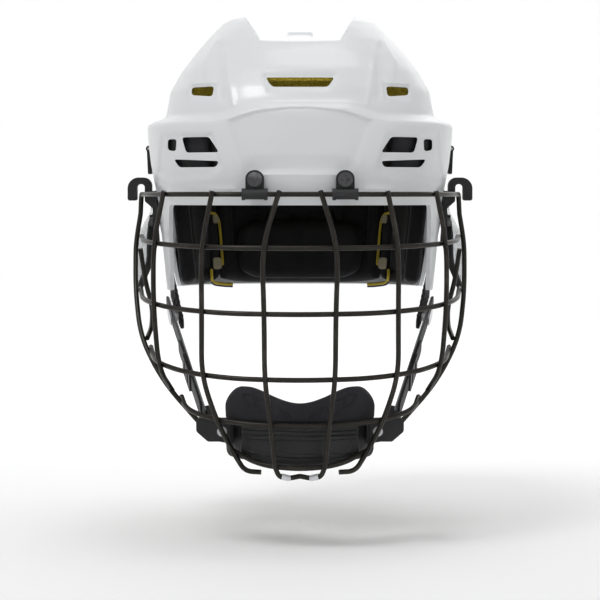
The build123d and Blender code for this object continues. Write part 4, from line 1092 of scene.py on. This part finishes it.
def ribbon(middle, across, facing, width, thick, ribs=4, narrow=0.0):
    """Closed webbing strip: a flattened superellipse with ribs carried along a path.

    middle, across and facing are (n, 3). narrow tapers the two ends to a rounded tip.
    """
    count = len(middle)
    angle = np.linspace(0, 2 * np.pi, 56, endpoint=False)
    wide = np.sign(np.cos(angle)) * np.abs(np.cos(angle)) ** 0.35
    deep = np.sign(np.sin(angle)) * np.abs(np.sin(angle)) ** 0.35
    rib = 1 + 0.16 * np.cos(2 * np.pi * ribs * wide) + 0.22 * (np.abs(wide) > 0.86)
    along = np.linspace(0, 1, count)
    length = np.linalg.norm(np.diff(middle, axis=0), axis=1).sum()
    near_end = np.minimum(along, 1 - along) * length
    taper = 1 - narrow * (1 - np.sqrt(np.clip(1 - (1 - np.clip(near_end / (width / 2), 0, 1)) ** 2, 0, 1)))
    taper[0] = taper[-1] = 0.01
    offset_wide = (wide * width / 2)[None, :, None] * across[:, None] * taper[:, None, None]
    lift = np.where(taper < 0.05, 0.01, 1.0)
    offset_deep = (deep * rib * thick / 2)[None, :, None] * facing[:, None] * lift[:, None, None]
    places = middle[:, None] + offset_wide + offset_deep
    return places.reshape(-1, 3), quads(count, 56, round_columns=True)


def flat_strip(u, w, width, thick, **more):
    """Ribbon in the strap's plane along u, at w inboard."""
    u, w = np.asarray(u, float), np.asarray(w, float)
    middle = strap_point(u, 0 * u, w)
    way = np.gradient(middle, axis=0)
    way /= np.linalg.norm(way, axis=1, keepdims=True)
    across = np.tile(strap_across, (len(u), 1))
    return ribbon(middle, across, np.cross(way, across), width, thick, **more)


def carry(meshes, way):
    """Meshes mirrored to one side: way is 1 for the left and -1 for the right."""
    return [(points * (way, 1, 1), corners) for points, corners in meshes]


long_u = np.linspace(-7.0, STRAP_LENGTH, 130)
tail_u = np.linspace(5.0, 74.0, 80)
strap_layers = [
    flat_strip(long_u, 0 * long_u, 15.0, 1.25, narrow=0.8),
    flat_strip(tail_u, -1.45 - 0.35 * step(tail_u, 58, 74) * (tail_u > 58), 14.4, 1.1, narrow=0.5),
]
webbing, tree, shader = finish(
    "ribbed_webbing", (0.02, 0.02, 0.022), 0.7, Sheen_Weight=0.3, Sheen_Roughness=0.35
)
where = tree.nodes.new("ShaderNodeTexCoord").outputs["Object"]
ridges = tree.nodes.new("ShaderNodeTexWave")
ridges.bands_direction = "DIAGONAL"
ridges.inputs["Scale"].default_value = 420
ridges.inputs["Distortion"].default_value = 1.5
tree.links.new(where, ridges.inputs["Vector"])
yarn = noise(tree, 1500, 3, where).outputs["Fac"]
height = arithmetic(tree, "ADD", ridges.outputs["Fac"], arithmetic(tree, "MULTIPLY", yarn, 0.7))
# Colour is lighter where ribs and yarns stand higher: a painted highlight on the rib tops and painted shade
# between them, with random yarn variation besides.
raised = arithmetic(tree, "MULTIPLY", height, 0.6)
tone = blend_colour(tree, raised, (0.010, 0.010, 0.012, 1), (0.060, 0.060, 0.064, 1))
tree.links.new(tone, shader.inputs["Base Color"])
relief_bump(tree, shader, height, 0.6, 0.00025)
# Light grey edge cords: partly the edges' silvery colour, partly a painted sheen along the strap's edges.
selvedge_grey_and_sheen = cloth_colour("selvedge_grey_and_painted_sheen", (0.30, 0.31, 0.33), 0.55)
for way, side_name in ((1, "left"), (-1, "right")):
    band = join(f"chin_strap_{side_name}_webbing", carry(strap_layers, way))
    dress(band, webbing)
    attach(band, f"strap_{side_name}")
    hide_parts(f"chin_strap_{side_name}")
    edge_u = np.linspace(-2.0, STRAP_LENGTH - 4.0, 90)
    edges = [tube(strap_point(edge_u, v + 0 * edge_u, 0 * edge_u + 0.35), 0.55, sides=8) for v in (-7.3, 7.3)]
    selvedge = join(f"chin_strap_{side_name}_selvedge", carry(edges, way))
    dress(selvedge, selvedge_grey_and_sheen)
    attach(selvedge, f"strap_{side_name}")
    keep(f"strap_adjuster_{side_name}", black_nylon)
    keep(f"snap_socket_{side_name}", bright_steel)
keep("snap_studs", bright_steel)
keep("strap_pins", black_screw)

# ---------------------------------------------------------------- ear straps
# A fixed V of the same webbing hangs from the two ear-cover screws. Its legs meet under a
# stitched gusset of ribbed fabric that carries the snap's stud.
SNAP_U = STRAP_LENGTH - 18.0
WEB_W = 5.6
snap_at = strap_point(SNAP_U, 0, WEB_W)
EAR_HANG_X, EAR_HANG_Z = 104.4, -20.5
ear_layers = []
for hang_y, reach_u, reach_v in ((-14.0, SNAP_U + 16, -2.0), (22.0, SNAP_U + 18, 12.0)):
    knee = strap_point(reach_u, reach_v, WEB_W + 0.8)
    hang = np.array([EAR_HANG_X, hang_y, EAR_HANG_Z])
    bowed = 0.6 * hang + 0.4 * knee + (0.6, 0, 0)
    end = 0.35 * knee + 0.65 * snap_at
    route = smooth_path([hang + (0, 0, 2.5), hang + (0, 0, -3), bowed, knee, end], 70)
    way = np.gradient(route, axis=0)
    way /= np.linalg.norm(way, axis=1, keepdims=True)
    facing = np.cross(way, np.cross(np.array([-1.0, 0.12, 0.1]), way))
    facing /= np.linalg.norm(facing, axis=1, keepdims=True)
    ear_layers.append(ribbon(route, np.cross(facing, way), facing, 11.0, 1.2, narrow=0.4))


def gusset_place(u, v, d):
    """Ribbed triangular patch over the strap's snap end: wide at the top, narrow at the snap."""
    along = -9.5 + 36.0 * v
    low_side = -7.0 + 0.0 * v - 1.0 * np.sin(np.pi * v)
    high_side = 7.0 + 12.0 * step(v, 0.1, 0.75)
    across_at = low_side + (high_side - low_side) * u
    ribs = 0.22 * np.cos(2 * np.pi * 11 * v)
    points = strap_point(SNAP_U + along, across_at, WEB_W + 1.1 + 0 * u - d + ribs)
    return points[..., 0], points[..., 1], points[..., 2]


gusset = pad_mesh(gusset_place, 2.4, 1.4, (22.0, 36.0), grid=(60, 150), corner=0.2)
for way, side_name in ((1, "left"), (-1, "right")):
    yoke = join(f"ear_webbing_{side_name}_straps", carry(ear_layers + [gusset], way))
    dress(yoke, webbing)
    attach(yoke, "helmet")
    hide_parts(f"ear_webbing_{side_name}")

# ---------------------------------------------------------------- studio
# A pale seamless floor that curves up behind, soft boxes, and a long lens level with the top bar.
TARGET_Z = -0.0986
DISTANCE = 1.80
RISE = math.radians(2.468)
lens = bpy.data.cameras.new("lens")
camera = bpy.data.objects.new("camera", lens)
bpy.context.scene.collection.objects.link(camera)
camera.location = (0, -DISTANCE * math.cos(RISE), TARGET_Z + DISTANCE * math.sin(RISE))
camera.rotation_euler = (math.pi / 2 - RISE, 0, 0)
lens.sensor_width = 36.0
lens.lens = 147.0
bpy.context.scene.camera = camera

# Cove: flat disc out to 2.6 m, then a quarter ellipse up to a wall, turned right round the object.
FLOOR_Z = -0.262
turn = np.linspace(0, 2 * np.pi, 97)[:-1]
rise = np.radians(np.linspace(0, 90, 25))
radius = np.concatenate([[0.001, 0.5, 1.2], 2.6 + 1.4 * np.sin(rise), [4.0, 4.0]])
height = np.concatenate([[0, 0, 0], 1.4 - 1.4 * np.cos(rise), [2.4, 3.6]])
cove_places = np.stack([
    radius[:, None] * np.cos(turn), radius[:, None] * np.sin(turn), FLOOR_Z + height[:, None] + 0 * turn,
], axis=-1).reshape(-1, 3) / MM
cove = build("cove", cove_places, quads(len(radius), len(turn), round_columns=True))
pale, _, _ = finish("pale_floor", (0.95, 0.95, 0.95), 0.8)
dress(cove, pale)
cove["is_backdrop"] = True


def soft_box(name, place, aim, size, watts):
    """Square area light at a place, pointing at another."""
    light = bpy.data.lights.new(name, "AREA")
    light.energy, light.size = watts, size
    lamp = bpy.data.objects.new(name, light)
    bpy.context.scene.collection.objects.link(lamp)
    lamp.location = place
    way = np.array(aim, float) - np.array(place, float)
    tilt = math.atan2(math.hypot(way[0], way[1]), -way[2])
    lamp.rotation_euler = (tilt, 0, math.atan2(way[0], -way[1]) + math.pi)


soft_box("key_light", (-0.7, -0.9, 1.6), (0, 0, 0), 0.6, 9)
soft_box("fill_light", (1.6, -1.5, 0.4), (0, 0, -0.05), 1.2, 2)
soft_box("top_light", (0.2, 0.2, 1.7), (0, 0, 0), 0.8, 3)
soft_box("back_light", (0.4, 1.7, 0.9), (0, 0, 0), 1.2, 2)
soft_box("wall_light", (0.0, 1.3, 2.2), (0, 4.0, 0.4), 1.6, 26)
world = bpy.data.worlds.new("studio")
bpy.context.scene.world = world
world.use_nodes = True
world.node_tree.nodes["Background"].inputs["Color"].default_value = (1, 1, 1, 1)
world.node_tree.nodes["Background"].inputs["Strength"].default_value = 0.52
bpy.context.scene.view_settings.view_transform = "Standard"
bpy.context.scene.view_settings.look = "Medium High Contrast"

low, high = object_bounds()
